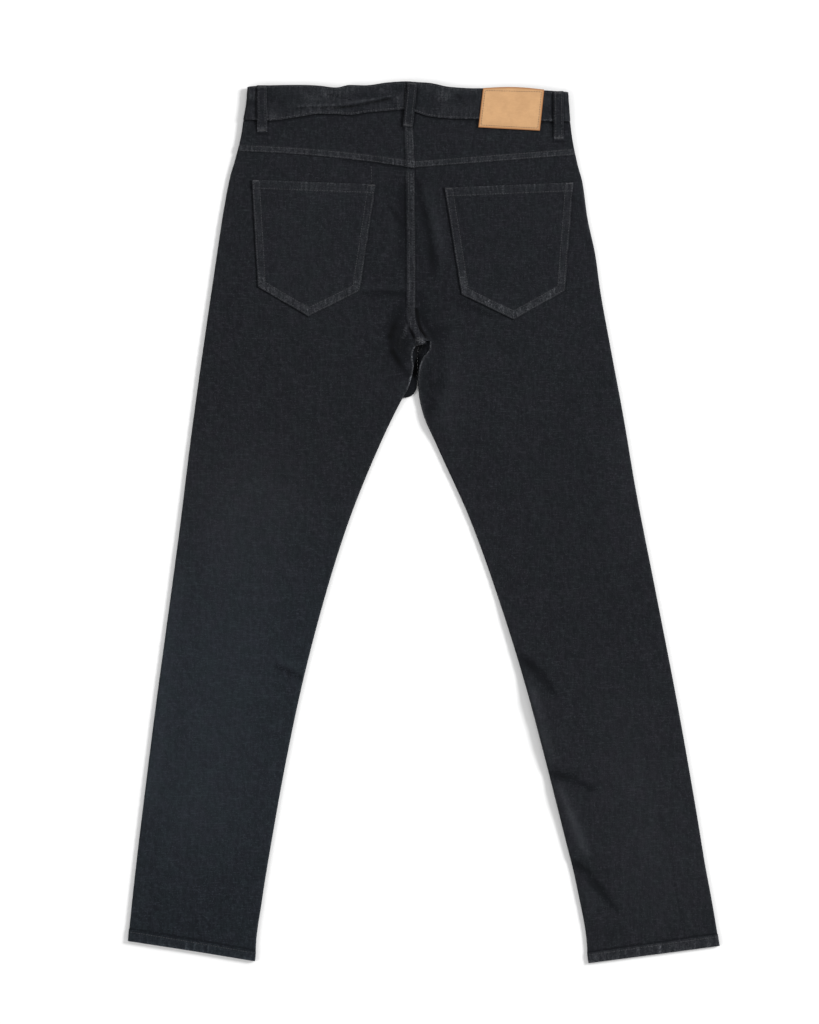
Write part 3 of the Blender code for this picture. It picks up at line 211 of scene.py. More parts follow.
# Folds, creases and tones, one row each: a line from x0, y0 to x1, y1 with a width and a height or strength
forms = {
    "back": [    # broad folds of the back
        ("button lap", -0.045, 0.505, -0.015, 0.505, 0.04, 0.0012),
        ("left leg middle", -0.2, 0.1, -0.285, -0.43, 0.05, -0.0007),
        ("right leg middle", 0.145, 0.08, 0.275, -0.43, 0.05, -0.0007),
        ("left seat", -0.14, 0.37, -0.15, 0.26, 0.06, -0.0004),
        ("right seat", 0.115, 0.37, 0.11, 0.26, 0.06, -0.0004),
        ("left valley", -0.032, 0.236, -0.024, 0.205, 0.009, -0.0016),
        ("right valley", 0.002, 0.256, 0.012, 0.233, 0.008, -0.0014),
        ("seat trough", -0.003, 0.4, 0.015, 0.315, 0.008, -0.0009),
        ("left knee", -0.16, -0.19, -0.19, -0.178, 0.01, 0.0009),
        ("right knee", 0.129, -0.186, 0.166, -0.213, 0.01, -0.001),
        ("right shin", 0.142, -0.225, 0.164, -0.27, 0.012, 0.0012),
        ("right calf", 0.164, -0.319, 0.224, -0.331, 0.011, -0.001),
        ("right calf ridge", 0.178, -0.348, 0.212, -0.406, 0.012, 0.0011),
        ("right ankle", 0.195, -0.432, 0.24, -0.478, 0.011, -0.001),
    ],
    "both": [    # lifts of the back and the front together
        ("crotch", -0.003, 0.215, -0.003, 0.195, 0.026, 0.0062),
        ("right thigh ridge", 0.033, 0.195, 0.018, 0.13, 0.02, 0.0042),
        ("left thigh edge", -0.033, 0.205, -0.038, 0.15, 0.017, 0.002),
    ],
    "front": [    # folds of the front
        ("crotch valley", -0.0045, 0.22, -0.0095, 0.188, 0.0058, -0.0056),
    ],
    "band": [    # broad folds of the waistband
        ("band ridge", -0.145, 0.515, -0.095, 0.519, 0.008, 0.001),
        ("band trough", -0.09, 0.527, -0.042, 0.533, 0.006, -0.0006),
    ],
    "bandFine": [    # creases of the waistband
        ("band crease", -0.1585, 0.5194, -0.1106, 0.5187, 0.0022, 0.001),
        ("band crease middle", -0.13, 0.515, -0.0731, 0.52, 0.0022, -0.001),
        ("band crease end", -0.074, 0.5198, -0.033, 0.5285, 0.0022, -0.0013),
        ("band fold", -0.105, 0.5212, -0.056, 0.5262, 0.0026, 0.0011),
        ("band hollow", -0.121, 0.53, -0.112, 0.526, 0.0034, -0.0009),
        ("band hollow left", -0.172, 0.512, -0.15, 0.515, 0.003, -0.0006),
        ("band dimple", -0.129, 0.535, -0.118, 0.526, 0.004, 0.0006),
        ("band dimple right", -0.056, 0.523, -0.05, 0.513, 0.0026, 0.0005),
        ("band pucker", -0.038, 0.527, -0.036, 0.516, 0.0022, -0.0005),
        ("band roll right", 0.01, 0.538, 0.05, 0.533, 0.006, 0.0004),
    ],
    "backFine": [    # creases of the back
        ("seat valley right", -0.0115, 0.422, 0.005, 0.36, 0.005, -0.0017),
        ("seat valley right low", 0.006, 0.358, 0.0115, 0.31, 0.005, -0.002),
        ("seat swell right", 0.003, 0.412, 0.024, 0.325, 0.009, 0.0016),
        ("seat dent left", -0.027, 0.415, -0.0245, 0.35, 0.0055, -0.0012),
        ("seat roll left", -0.04, 0.4, -0.04, 0.34, 0.008, 0.0007),
        ("under pocket right", 0.044, 0.276, 0.09, 0.253, 0.0036, -0.0012),
        ("seat crease left", -0.0444, 0.3944, -0.0281, 0.3694, 0.003, -0.0017),
        ("seat shelf left", -0.074, 0.285, -0.027, 0.2844, 0.0034, -0.0018),
        ("seat shelf light", -0.074, 0.2915, -0.027, 0.2905, 0.004, 0.0008),
        ("shelf turn left", -0.0244, 0.2818, -0.015, 0.249, 0.0036, -0.0013),
        ("valley left upper", -0.038, 0.262, -0.0438, 0.223, 0.006, -0.0018),
        ("valley left lower", -0.0438, 0.2206, -0.0262, 0.186, 0.006, -0.0018),
        ("fork crease", -0.0175, 0.2419, -0.0119, 0.2256, 0.0017, -0.0012),
        ("fork left branch", -0.0206, 0.244, -0.0268, 0.2281, 0.0014, 0.001),
        ("fork shadow right", -0.0075, 0.2631, 0.0112, 0.2294, 0.0026, -0.0026),
        ("fork hollow left", -0.033, 0.2394, -0.029, 0.206, 0.0085, -0.0022),
        ("fork shelf left", -0.044, 0.226, -0.018, 0.187, 0.0036, 0.0012),
        ("lip fall right", 0.015, 0.215, 0.011, 0.16, 0.006, 0.0012),
        ("thigh roll right", 0.026, 0.22, 0.027, 0.13, 0.013, 0.001),
        ("seam dent right", -0.0095, 0.426, -0.005, 0.412, 0.0035, -0.0012),
        ("yoke hollow left", -0.08, 0.452, -0.029, 0.442, 0.004, -0.001),
        ("pocket pucker right", 0.038, 0.276, 0.06, 0.26, 0.003, -0.0006),
        ("knee crease left", -0.153, -0.1935, -0.1844, -0.18, 0.003, -0.0014),
        ("knee roll left", -0.154, -0.183, -0.18, -0.173, 0.0045, 0.0009),
        ("knee line left", -0.1756, -0.199, -0.225, -0.195, 0.0034, 0.0006),
        ("knee crease right", 0.1215, -0.1694, 0.145, -0.1904, 0.0042, -0.0026),
        ("knee crease right end", 0.145, -0.1904, 0.164, -0.217, 0.0042, -0.0016),
        ("knee roll right", 0.13, -0.203, 0.142, -0.243, 0.0062, 0.0022),
        ("shin roll right", 0.142, -0.243, 0.156, -0.298, 0.006, 0.002),
        ("calf crease right", 0.159, -0.315, 0.188, -0.32, 0.004, -0.0026),
        ("calf crease right end", 0.188, -0.324, 0.216, -0.336, 0.004, -0.0014),
        ("calf roll right", 0.168, -0.331, 0.183, -0.368, 0.0066, 0.0024),
        ("calf roll right low", 0.183, -0.368, 0.201, -0.412, 0.0066, 0.0022),
        ("ankle crease right", 0.186, -0.425, 0.204, -0.437, 0.004, -0.0022),
        ("ankle crease right end", 0.204, -0.437, 0.234, -0.479, 0.004, -0.0018),
        ("ankle roll right", 0.199, -0.45, 0.211, -0.49, 0.0055, 0.001),
        ("thigh fall right", 0.0456, 0.2206, 0.0219, 0.1206, 0.007, 0.0002),
        ("allowance line", 0.2756, -0.2769, 0.279, -0.307, 0.0017, -0.0008),
        ("allowance line mid", 0.2794, -0.307, 0.308, -0.4256, 0.0017, -0.0005),
        ("allowance line low", 0.308, -0.4256, 0.3231, -0.508, 0.0018, -0.0008),
        ("allowance left", -0.318, -0.26, -0.344, -0.49, 0.002, -0.0003),
    ],
    "liftFine": [    # where a whole leg stands off the floor
        ("right leg lift", 0.1, -0.13, 0.195, -0.41, 0.026, 0.0036),
    ],
    "wash": [    # tone drawn on the cloth, paler above nothing and darker below it: some wash tone, and painted shade in hollows, creases, beside the belt loops and along the waistband's creases, with painted highlight on a few ridges
        ("left leg pale", -0.22, 0.01, -0.28, -0.36, 0.09, 0.26),
        ("left leg pale edge", -0.312, -0.08, -0.342, -0.34, 0.016, 0.2),
        ("left hem dark", -0.27, -0.42, -0.29, -0.53, 0.08, -0.04),
        ("seat dark right", 0.002, 0.385, 0.012, 0.315, 0.006, -0.18),
        ("seat dark left", -0.026, 0.41, -0.024, 0.33, 0.008, -0.12),
        ("seat dark middle", -0.006, 0.4, -0.006, 0.29, 0.05, -0.09),
        ("crotch dark left", -0.033, 0.2394, -0.027, 0.206, 0.0085, -0.26),
        ("hollow rim left upper", -0.0275, 0.264, -0.0425, 0.231, 0.0036, -0.26),
        ("hollow rim left", -0.0425, 0.231, -0.0385, 0.212, 0.0036, -0.34),
        ("hollow rim left low", -0.039, 0.211, -0.019, 0.183, 0.0042, -0.36),
        ("crotch dark right", 0.017, 0.235, 0.022, 0.17, 0.011, -0.32),
        ("crotch dark right low", 0.009, 0.19, 0.01, 0.14, 0.008, -0.22),
        ("fork dark left", -0.0275, 0.2869, -0.0285, 0.2544, 0.004, -0.26),
        ("fork dark right", -0.003, 0.283, 0.004, 0.256, 0.005, -0.24),
        ("fork line right", -0.0096, 0.265, -0.0043, 0.24, 0.0021, -0.95),
        ("fork line right low", -0.0043, 0.24, 0.004, 0.2285, 0.0021, -0.95),
        ("fork line middle", -0.0165, 0.242, -0.011, 0.226, 0.0018, -0.7),
        ("inside dark", -0.006, 0.223, -0.011, 0.185, 0.0045, -0.85),
        ("inside dark top", -0.01, 0.215, 0.0015, 0.219, 0.0034, -0.8),
        ("front dark", -0.011, 0.185, -0.018, 0.156, 0.005, -0.4),
        ("loop shade left", -0.2088, 0.539, -0.2085, 0.488, 0.0018, -0.45),
        ("loop shade middle", -0.0208, 0.543, -0.0268, 0.493, 0.002, -0.5),
        ("loop shade middle right", -0.0075, 0.54, -0.0128, 0.493, 0.0014, -0.3),
        ("loop shade right", 0.161, 0.532, 0.1615, 0.479, 0.0018, -0.45),
        ("loop foot left", -0.208, 0.484, -0.196, 0.4835, 0.0016, -0.4),
        ("loop foot middle", -0.0265, 0.4895, -0.014, 0.49, 0.0016, -0.4),
        ("loop foot right", 0.162, 0.4742, 0.1745, 0.474, 0.0016, -0.4),
        ("knee dark right", 0.124, -0.171, 0.158, -0.213, 0.004, -0.2),
        ("calf dark right", 0.159, -0.315, 0.216, -0.336, 0.004, -0.2),
        ("ankle dark right", 0.188, -0.427, 0.242, -0.485, 0.0042, -0.22),
        ("knee dark left", -0.153, -0.1955, -0.185, -0.1815, 0.0026, -0.26),
        ("band line dark", -0.156, 0.5158, -0.113, 0.5168, 0.0013, -0.5),
        ("band line dark middle", -0.113, 0.5152, -0.09, 0.5176, 0.0014, -0.7),
        ("band line dark end", -0.09, 0.5176, -0.042, 0.5276, 0.0014, -0.62),
        ("band line upper", -0.115, 0.533, -0.086, 0.524, 0.0014, -0.4),
        ("band hollow right", 0.0215, 0.537, 0.0225, 0.523, 0.0012, -0.3),
        ("band hollow far", 0.042, 0.533, 0.05, 0.52, 0.0018, -0.3),
        ("left pocket pale", -0.14, 0.39, -0.14, 0.3, 0.05, 0.07),
        ("yoke wedge", -0.098, 0.451, -0.03, 0.444, 0.003, -0.2),
        ("leg low right pale", 0.245, -0.25, 0.29, -0.46, 0.07, 0.1),
        ("right leg pale edge", 0.245, 0.1, 0.26, -0.02, 0.02, 0.08),
        ("right shin pale", 0.183, -0.365, 0.198, -0.408, 0.008, 0.22),
        ("right leg low pale", 0.27, -0.32, 0.29, -0.44, 0.05, 0.08),
    ],
    "rub": [    # rubbed and frayed places, and painted highlight along crease ridges of the waistband and the right shin and calf
        ("hollow pale left", -0.033, 0.237, -0.029, 0.218, 0.0045, 0.06),
        ("fork rub left", -0.0204, 0.245, -0.0262, 0.229, 0.0014, 0.55),
        ("inside strip", -0.001, 0.218, -0.009, 0.205, 0.001, 0.22),
        ("shin rub right", 0.139, -0.212, 0.163, -0.296, 0.004, 0.1),
        ("calf rub right", 0.169, -0.331, 0.202, -0.414, 0.0042, 0.13),
        ("band line pale", -0.157, 0.5178, -0.1, 0.5202, 0.001, 0.28),
        ("band line pale end", -0.1, 0.5202, -0.042, 0.5306, 0.0011, 0.26),
        ("band blotch left", -0.124, 0.533, -0.115, 0.529, 0.0022, 0.16),
        ("band blotch loop", -0.033, 0.529, -0.032, 0.516, 0.0012, 0.3),
        ("band blotch loop outer", -0.037, 0.528, -0.0365, 0.518, 0.0008, 0.2),
        ("band rib right", 0.018, 0.538, 0.019, 0.524, 0.001, 0.22),
        ("band rib right next", 0.025, 0.537, 0.027, 0.526, 0.001, 0.2),
    ],
    "frontFine": [    # creases of the front
        ("front hip crease", -0.13, 0.23, -0.05, 0.26, 0.005, 0.0006),
        ("front hip crease right", 0.03, 0.262, 0.11, 0.23, 0.005, 0.0006),
    ],
}
forms = {layer: [Form(*row) for row in rows] for layer, rows in forms.items()}

leftPocket = [(-0.2146, 0.4264), (-0.0599, 0.4206), (-0.0798, 0.2876), (-0.1440, 0.2560), (-0.2070, 0.2929)]
rightPocket = [(0.0260, 0.4165), (0.1866, 0.4231), (0.1762, 0.2876), (0.1125, 0.2519), (0.0471, 0.2836)]
patchCorners = [(0.0680, 0.4916), (0.1447, 0.4874), (0.1501, 0.5386), (0.0739, 0.5404)]
backLoops = {
    "belt_loop_side_left": ((-0.2019, 0.5440), (-0.2016, 0.4859)),
    "belt_loop_back_centre": ((-0.0141, 0.5478), (-0.0200, 0.4919)),
    "belt_loop_side_right": ((0.1679, 0.5366), (0.1684, 0.4763)),
}
frontLoops = {
    "belt_loop_front_left": ((-0.1250, 0.5340), (-0.1240, 0.4800)),
    "belt_loop_front_right": ((0.0870, 0.5320), (0.0860, 0.4780)),
}


def unit(t):
    return np.clip(t, 0.0, 1.0)


def hill(distance, width):
    return np.exp(-(distance / width) ** 2)


def ease(t):
    t = unit(t)
    return t * t * (3.0 - 2.0 * t)


def through(keys, values):
    # a smooth line through measured places that never swings past them
    order = np.argsort(keys)
    k, v = np.asarray(keys, float)[order], np.asarray(values, float)[order]
    step = np.diff(k)
    rate = np.diff(v) / step
    slope = np.zeros(len(k))
    slope[0], slope[-1] = rate[0], rate[-1]
    for i in range(1, len(k) - 1):
        if rate[i - 1] * rate[i] > 0.0:
            a, b = 2 * step[i] + step[i - 1], step[i] + 2 * step[i - 1]
            slope[i] = (a + b) / (a / rate[i - 1] + b / rate[i])

    def at(x):
        x = np.clip(x, k[0], k[-1])
        i = np.clip(np.searchsorted(k, x) - 1, 0, len(k) - 2)
        t = (x - k[i]) / step[i]
        return (v[i] * (1 + 2 * t) * (1 - t) ** 2 + slope[i] * step[i] * t * (1 - t) ** 2
                + v[i + 1] * t * t * (3 - 2 * t) + slope[i + 1] * step[i] * t * t * (t - 1))
    return at


leftSideX = through([y for y, x in leftSide], [x for y, x in leftSide])
rightSideX = through([y for y, x in rightSide], [x for y, x in rightSide])
bandTopY = through([r[0] for r in bandBack], [r[1] for r in bandBack])
bandLowY = through([r[0] for r in bandBack], [r[2] for r in bandBack])


def unevenness(x, y, sizeX, sizeY, seed):
    # smooth random heights between -1 and 1, with hills of the given size
    gx, gy = np.asarray(x) / sizeX + 40.0, np.asarray(y) / sizeY + 40.0
    ix, iy = np.floor(gx).astype(int), np.floor(gy).astype(int)
    fx, fy = ease(gx - ix), ease(gy - iy)
    table = np.random.RandomState(seed).uniform(-1.0, 1.0, 4096)

    def corner(a, b):
        return table[(a * 73 + b * 179 + (a * b) % 61) % 4096]
    low = corner(ix, iy) * (1 - fx) + corner(ix + 1, iy) * fx
    high = corner(ix, iy + 1) * (1 - fx) + corner(ix + 1, iy + 1) * fx
    return low * (1 - fy) + high * fy


def formHeight(layer, x, y):
    total = np.zeros(np.shape(x))
    for f in forms[layer]:
        ax, ay = f.x1 - f.x0, f.y1 - f.y0
        share = np.clip(((x - f.x0) * ax + (y - f.y0) * ay) / (ax * ax + ay * ay), 0.0, 1.0)
        away = np.hypot(x - f.x0 - ax * share, y - f.y0 - ay * share) / f.width
        fine = 0.35 + 0.65 * np.sin(np.pi * np.clip(share, 0.06, 0.94))    # a crease thins out at its ends
        taper = fine if layer.endswith("Fine") else 1.0
        total = total + f.height * np.exp(-away * away) * taper
    return total


def dip(x):
    return cloth["frontDip"] * np.maximum(0.0, 1.0 - ((x - cloth["centreX"]) / cloth["halfWaist"]) ** 2)


def rise(x, y):
    return ease((y + dip(x) - cloth["riseStart"]) / (cloth["riseEnd"] - cloth["riseStart"]))


def swell(x, y, seed):
    # how unevenly flat cloth lies: long soft waves along the legs and small ones across
    waves = unevenness(x, y, 0.055, 0.110, seed) + 0.5 * unevenness(x, y, 0.030, 0.022, seed + 1)
    return cloth["swell"] * waves + cloth["grain"] * unevenness(x, y, 0.009, 0.013, seed + 2)


def backTop(x, y):
    level = cloth["backLevel"] + cloth["backRise"] * rise(x, y)
    return level + formHeight("both", x, y) + formHeight("back", x, y)


def backTopFine(x, y):
    calm = 1.0 - ease((y - 0.44) / 0.04)      # no swell under the waistband
    fine = formHeight("backFine", x, y) + formHeight("liftFine", x, y)
    return backTop(x, y) + fine + swell(x, y, 11) * (0.25 + 0.75 * calm)


def frontUnder(x, y):
    level = cloth["frontRise"] * rise(x, y) + formHeight("both", x, y) + formHeight("front", x, y)
    return np.maximum(level, 0.0)


def frontUnderFine(x, y):
    free = ease((y - 0.05) / 0.2)
    lifted = formHeight("liftFine", x, y) + np.maximum(formHeight("frontFine", x, y), 0.0) * free
    return frontUnder(x, y) + lifted


def seamHeight(x, y):
    level = cloth["seamLevel"] + 0.5 * (cloth["frontRise"] + cloth["backRise"]) * rise(x, y)
    return level + formHeight("both", x, y) + formHeight("liftFine", x, y)


def rolled(distance, width):
    away = np.clip((width - np.maximum(distance, 0.0)) / width, 0.0, 1.0)
    return np.sqrt(np.maximum(0.0, 1.0 - away * away))


def edgeDrop(distance, radius):
    # how far a rounded edge falls away near its rim
    away = np.clip(radius - distance, 0.0, radius)
    return radius - np.sqrt(np.maximum(radius * radius - away * away, 0.0))


seatLow = 0.19    # above this the back's mesh is finer
rollReach = 0.0045    # over this the inner surface turns in at a rolled edge
# How far a lap reaches in, the width of its step, and how much nearer the edge the inside's step lies
lapReach, lapBlend, lapShift = 0.0130, 0.0026, 0.0012
rimSteps = np.array([0.0, 0.00006, 0.0002, 0.0004, 0.00062, 0.0010])


def spread(total, spacing, stops=()):
    # places along a length: close together at both rims, even between, and at the given stops
    inner = np.linspace(rimSteps[-1], total - rimSteps[-1], max(3, int(total / spacing)))
    places = np.concatenate([rimSteps, total - rimSteps, inner, np.asarray(stops, float)])
    places = np.unique(np.round(np.clip(places, 0.0, total), 6))
    keep = np.concatenate([[True], np.diff(places) > 0.00004])
    return places[keep]


# Distances of the mesh's lines from a lapped edge, a rolled edge and the side
lapOut = np.array([0.0152, 0.0138, 0.0130, 0.0122, 0.0114, 0.0106, 0.0098, 0.0088, 0.0078, 0.0068,
                   0.0052, 0.0036, 0.0022, 0.0015, 0.0008, 0.0004, 0.0002, 0.00006, 0.0])
rollOut = np.array([0.0140, 0.0115, 0.0095, 0.0080, 0.0068, 0.0058, 0.0050, 0.0043, 0.0037, 0.0032,
                    0.0028, 0.0024, 0.0020, 0.0016, 0.0012, 0.0008, 0.0004, 0.00012, 0.0])
sideOut = np.array([0.0, 0.00015, 0.0004, 0.0008, 0.0012, 0.0017, 0.0023, 0.0029, 0.0036, 0.0045,
                    0.0058, 0.0075])


def panelSurface(sections, sideX, outside, facing, step, relief, spacing, across, detail,
                 recess=None, wall=None):
    # outer and inner surface of one cut piece, from its outer side to its middle, down its length
    wall = cloth["wall"] if wall is None else wall
    knots = np.cumsum([0.0] + [max(0.5 * (abs(a.outerY - b.outerY) + abs(a.innerY - b.innerY)), 0.0003)
                               for a, b in zip(sections, sections[1:])])
    coarse = max(spacing) if isinstance(spacing, tuple) else spacing
    seatEnd = np.interp(-seatLow, [-s.outerY for s in sections], knots)
    fine = np.arange(0.001, seatEnd, min(spacing)) if isinstance(spacing, tuple) else []
    along = spread(knots[-1], coarse, np.concatenate([knots, fine]))
    if len(fine):
        early = (along < seatEnd) & ~np.isin(along, np.round(np.concatenate([knots, fine, rimSteps]), 6))
        along = along[~early]

    def field(name, smooth):
        values = [getattr(s, name) for s in sections]
        return through(knots, values)(along) if smooth else np.interp(along, knots, values)
    outerY, innerX, innerY = field("outerY", True), field("innerX", True), field("innerY", True)
    bow, lap, roll, inset, folded = (field(name, False)[:, None] for name in Section._fields[4:])
    inward = 1.0 if sideX is leftSideX else -1.0
    outerX = sideX(outerY)[:, None] + inward * (inset - folded * relief["wider"])
    outerY, innerX, innerY = outerY[:, None], innerX[:, None], innerY[:, None]
    width = np.hypot(innerX - outerX, innerY - outerY)
    farOut = lapOut + (rollOut - lapOut) * roll
    count = max(6, int(float(width.max()) / across))
    middle = np.linspace(0.0, 1.0, count + 2)[1:-1]
    start, end = sideOut[-1], width - farOut[:, :1]
    distance = np.concatenate([np.broadcast_to(sideOut, (len(along), len(sideOut))),
                               start + (end - start) * middle, width - farOut], axis=1)
    fromRow = np.minimum(along, knots[-1] - along)[:, None]
    surfaces = []
    info = {}
    for out in (True, False):
        d = distance
        if not out:
            near = unit(1.0 - d / rollReach)
            far = unit(1.0 - (width - d) / rollReach) * roll
            d = d + wall * near - wall * far
        t = d / width
        x = outerX + (innerX - outerX) * t
        y = outerY + (innerY - outerY) * t + bow * 4.0 * t * (1.0 - t)
        fromInner = width - d
        seam = seamHeight(x, y) + facing * cloth["gap"] / 2
        shift = 0.0 if out else lapShift
        lapShare = ease((lapReach - shift - fromInner) / lapBlend) * lap
        surface = outside(x, y) + facing * (folded * relief["raise"] + step * lapShare)
        if recess is not None:
            surface = surface - facing * recess(d, x, y)
        extra, wearShadeAndHighlight = detail(x, y, d, fromInner, along[:, None] + 0.0 * x, folded, lapShare, roll)
        surface = surface + facing * extra
        rounding = min(cloth["edgeRound"], 0.45 * wall)
        rim = edgeDrop(fromRow, rounding) + edgeDrop(fromInner, rounding) * (1.0 - roll)
        rim = np.minimum(rim, rounding)
        if out:
            surface = surface - facing * rim
            share = rolled(d, cloth["roll"]) * (1.0 - roll * (1.0 - rolled(fromInner, cloth["roll"])))
            info = {"x": x, "y": y, "fromSide": d, "fromInner": fromInner, "along": along, "wearShadeAndHighlight": wearShadeAndHighlight}
        else:
            surface = surface - facing * (wall + folded * relief["thicker"] - rim)
            surface = np.where((surface - seam) * facing < 0.0, seam, surface)
            tight = cloth["roll"] - wall
            share = rolled(d - wall, tight) * (1.0 - roll * (1.0 - rolled(fromInner - wall, tight)))
        surfaces.append(np.stack([x, y, seam + (surface - seam) * share], axis=2))
    return surfaces[0], surfaces[1], info


def closedMesh(name, outer, inner, wearShadeAndHighlight=None):
    # one closed body between two grids of points
    rows, columns = outer.shape[:2]
    verts = np.concatenate([outer.reshape(-1, 3), inner.reshape(-1, 3)])
    index = np.arange(rows * columns).reshape(rows, columns)
    a, b, c, d = index[:-1, :-1], index[:-1, 1:], index[1:, 1:], index[1:, :-1]
    under = rows * columns
    quads = [np.stack([a, b, c, d], 2).reshape(-1, 4), np.stack([a, d, c, b], 2).reshape(-1, 4) + under]
    for j, turn in ((0, 1), (columns - 1, -1)):
        e, f = index[:-1, j], index[1:, j]
        quads.append(np.stack([e, f, f + under, e + under], 1)[:, ::turn])
    for i, turn in ((0, -1), (rows - 1, 1)):
        e, f = index[i, :-1], index[i, 1:]
        quads.append(np.stack([e, f, f + under, e + under], 1)[:, ::turn])
    piece = meshFrom(name, verts, np.concatenate(quads))
    if wearShadeAndHighlight is not None:
        # wear below zero is a painted shadow line; high places are drawn paler and hollows darker, as painted
        # highlight and painted shade
        x, y = verts[:, 0], verts[:, 1]
        both = np.concatenate([wearShadeAndHighlight.reshape(-1), wearShadeAndHighlight.reshape(-1)]) + formHeight("rub", x, y)
        onBand = name.startswith("waistband")
        high = 1.6 * formHeight("bandFine", x, y) if onBand else formHeight("backFine", x, y)
        fade = formHeight("wash", x, y) + cloth["highWear"] * high + np.minimum(both, 0.0)
        both = np.maximum(both, 0.0)
        piece.data.attributes.new("wearShadeAndHighlight", "FLOAT", "POINT").data.foreach_set("value", both.astype(np.float32))
        piece.data.attributes.new("fade", "FLOAT", "POINT").data.foreach_set("value", fade.astype(np.float32))
    return piece


def meshFrom(name, verts, quads):
    mesh = bpy.data.meshes.new(name)
    mesh.vertices.add(len(verts))
    mesh.vertices.foreach_set("co", np.asarray(verts, np.float32).reshape(-1))
    mesh.loops.add(quads.size)
    mesh.loops.foreach_set("vertex_index", quads.reshape(-1).astype(np.int32))
    mesh.polygons.add(len(quads))
    mesh.polygons.foreach_set("loop_start", np.arange(0, quads.size, quads.shape[1], dtype=np.int32))
    mesh.update(calc_edges=True)
    mesh.validate()
    volume = signedVolume(verts, quads)
    if volume < 0.0:
        mesh.flip_normals()
    mesh.shade_smooth()
    mesh.set_sharp_from_angle(angle=math.radians(60))
    piece = bpy.data.objects.new(name, mesh)
    bpy.context.scene.collection.objects.link(piece)
    return piece


def signedVolume(verts, quads):
    p = np.asarray(verts, float)[quads]
    first = np.einsum("ij,ij->i", p[:, 0], np.cross(p[:, 1], p[:, 2])).sum()
    second = np.einsum("ij,ij->i", p[:, 0], np.cross(p[:, 2], p[:, -1])).sum() if quads.shape[1] > 3 else 0.0
    return first + second


def ticks(along, across, pitch, seed):
    # uneven ripples that the sewing draws up across a seam
    drift = 0.9 * pitch * unevenness(along, across, pitch * 4, 0.02, seed)
    strength = 0.55 + 0.45 * unevenness(along, across, pitch * 2.3, 0.012, seed + 1)
    return np.sin(2 * np.pi * (along + drift) / pitch) * strength


def groove(distance, at, width=0.0007):
    return hill(distance - at, width)


seams = {
    "row": 0.0016,          # first row of stitches from the edge
    "secondRow": 0.0078,    # second row
    "sink": 0.00016,        # how far a row sinks into the cloth
    "pucker": 0.00024,      # height of the ripples across a seam
    "puckerPitch": 0.0058,
    "hemDepth": 0.0135,
    "roping": 0.00028,      # slanted ripples of the hem
    "ropingPitch": 0.0072,
    "sideRipple": 0.00030,  # ripples beside the rolled side seams
    "yokeShift": 0.0006,    # how much nearer the yoke's second row lies
}
hemRow = seams["hemDepth"] - 0.0026
bothRows = (seams["row"], seams["secondRow"])


def twoRows(distance, nearer=0.0):
    return groove(distance, seams["row"]) + groove(distance, seams["secondRow"] - nearer)


def legDetail(x, y, fromSide, fromInner, along, folded, lapShare, roll):
    extra = np.zeros(np.shape(x))
    wearShadeAndHighlight = np.zeros(np.shape(x))
    # centre seam: two rows and the ripples between them
    between = lapShare * ease(fromInner / 0.002) * ease((0.0096 - fromInner) / 0.0016)
    ripple = ticks(along, fromInner, seams["puckerPitch"], 31)
    extra += seams["pucker"] * 0.8 * ripple * between
    extra -= seams["sink"] * lapShare * twoRows(fromInner)
    wearShadeAndHighlight += lapShare * (0.20 + 0.50 * unit(ripple) ** 2 * between) * ease((0.0112 - fromInner) / 0.002)
    lips = ease((0.228 - y) / 0.004) * ease((y - 0.150) / 0.03) * roll
    dots = 0.55 + 0.45 * np.sin(2 * np.pi * along / 0.0032)
    wearShadeAndHighlight += lips * (0.6 + 2.6 * dots ** 2) * hill(fromInner, 0.0015)
    spot = np.exp(-((x + 0.0031) / 0.0060) ** 2 - ((y - 0.2258) / 0.0030) ** 2)    # the worn fork
    wearShadeAndHighlight += 2.2 * spot * (0.5 + 0.5 * np.abs(ripple))
    # rolled side seam and inseam
    for distance, amount, seed in ((fromSide, 1.0, 41), (fromInner, roll, 47)):
        near = np.exp(-distance / 0.0075) * amount
        uneven = np.clip(0.55 + 0.75 * unevenness(along, distance, 0.011, 0.05, seed + 2), 0.0, 1.3)
        extra += seams["sideRipple"] * near * ticks(along, distance, 0.0135, seed)
        wearShadeAndHighlight += 0.26 * uneven * amount * hill(distance, 0.0018) + 0.05 * near
    # hem
    skewed = fromSide + 0.55 * along
    rope = ticks(skewed, along, seams["ropingPitch"], 53)
    end = along.max() - along
    nearHem = ease((end) / 0.0015) * ease((seams["hemDepth"] - end) / 0.002)
    extra += seams["roping"] * rope * nearHem * folded
    extra -= seams["sink"] * groove(end, hemRow) * folded
    bars = np.clip(ticks(fromSide, 0.0 * end, 0.0105, 57), 0.0, 1.0) ** 2
    bars = bars * np.where(x > 0.0, 0.95, 0.35)
    wearShadeAndHighlight += folded * (np.where(x > 0.0, 0.20, 0.08) + bars * nearHem + 0.12 * rope) + 0.30 * hill(end, 0.0014)
    # painted shadow: a dark line just above the turned-up hem
    wearShadeAndHighlight -= 0.50 * groove(end, seams["hemDepth"] + 0.0010, 0.0011)
    # painted shadow along each back pocket's left and lower-left edges
    for corners in (leftPocket, rightPocket):
        leftTop, _, _, tip, leftLow = corners
        under = np.minimum(toLine(x, y, leftTop, leftLow)[0], toLine(x, y, leftLow, tip)[0])
        wearShadeAndHighlight -= 0.34 * hill(under, 0.0016)
    return extra, np.clip(wearShadeAndHighlight, -0.6, 2.6)


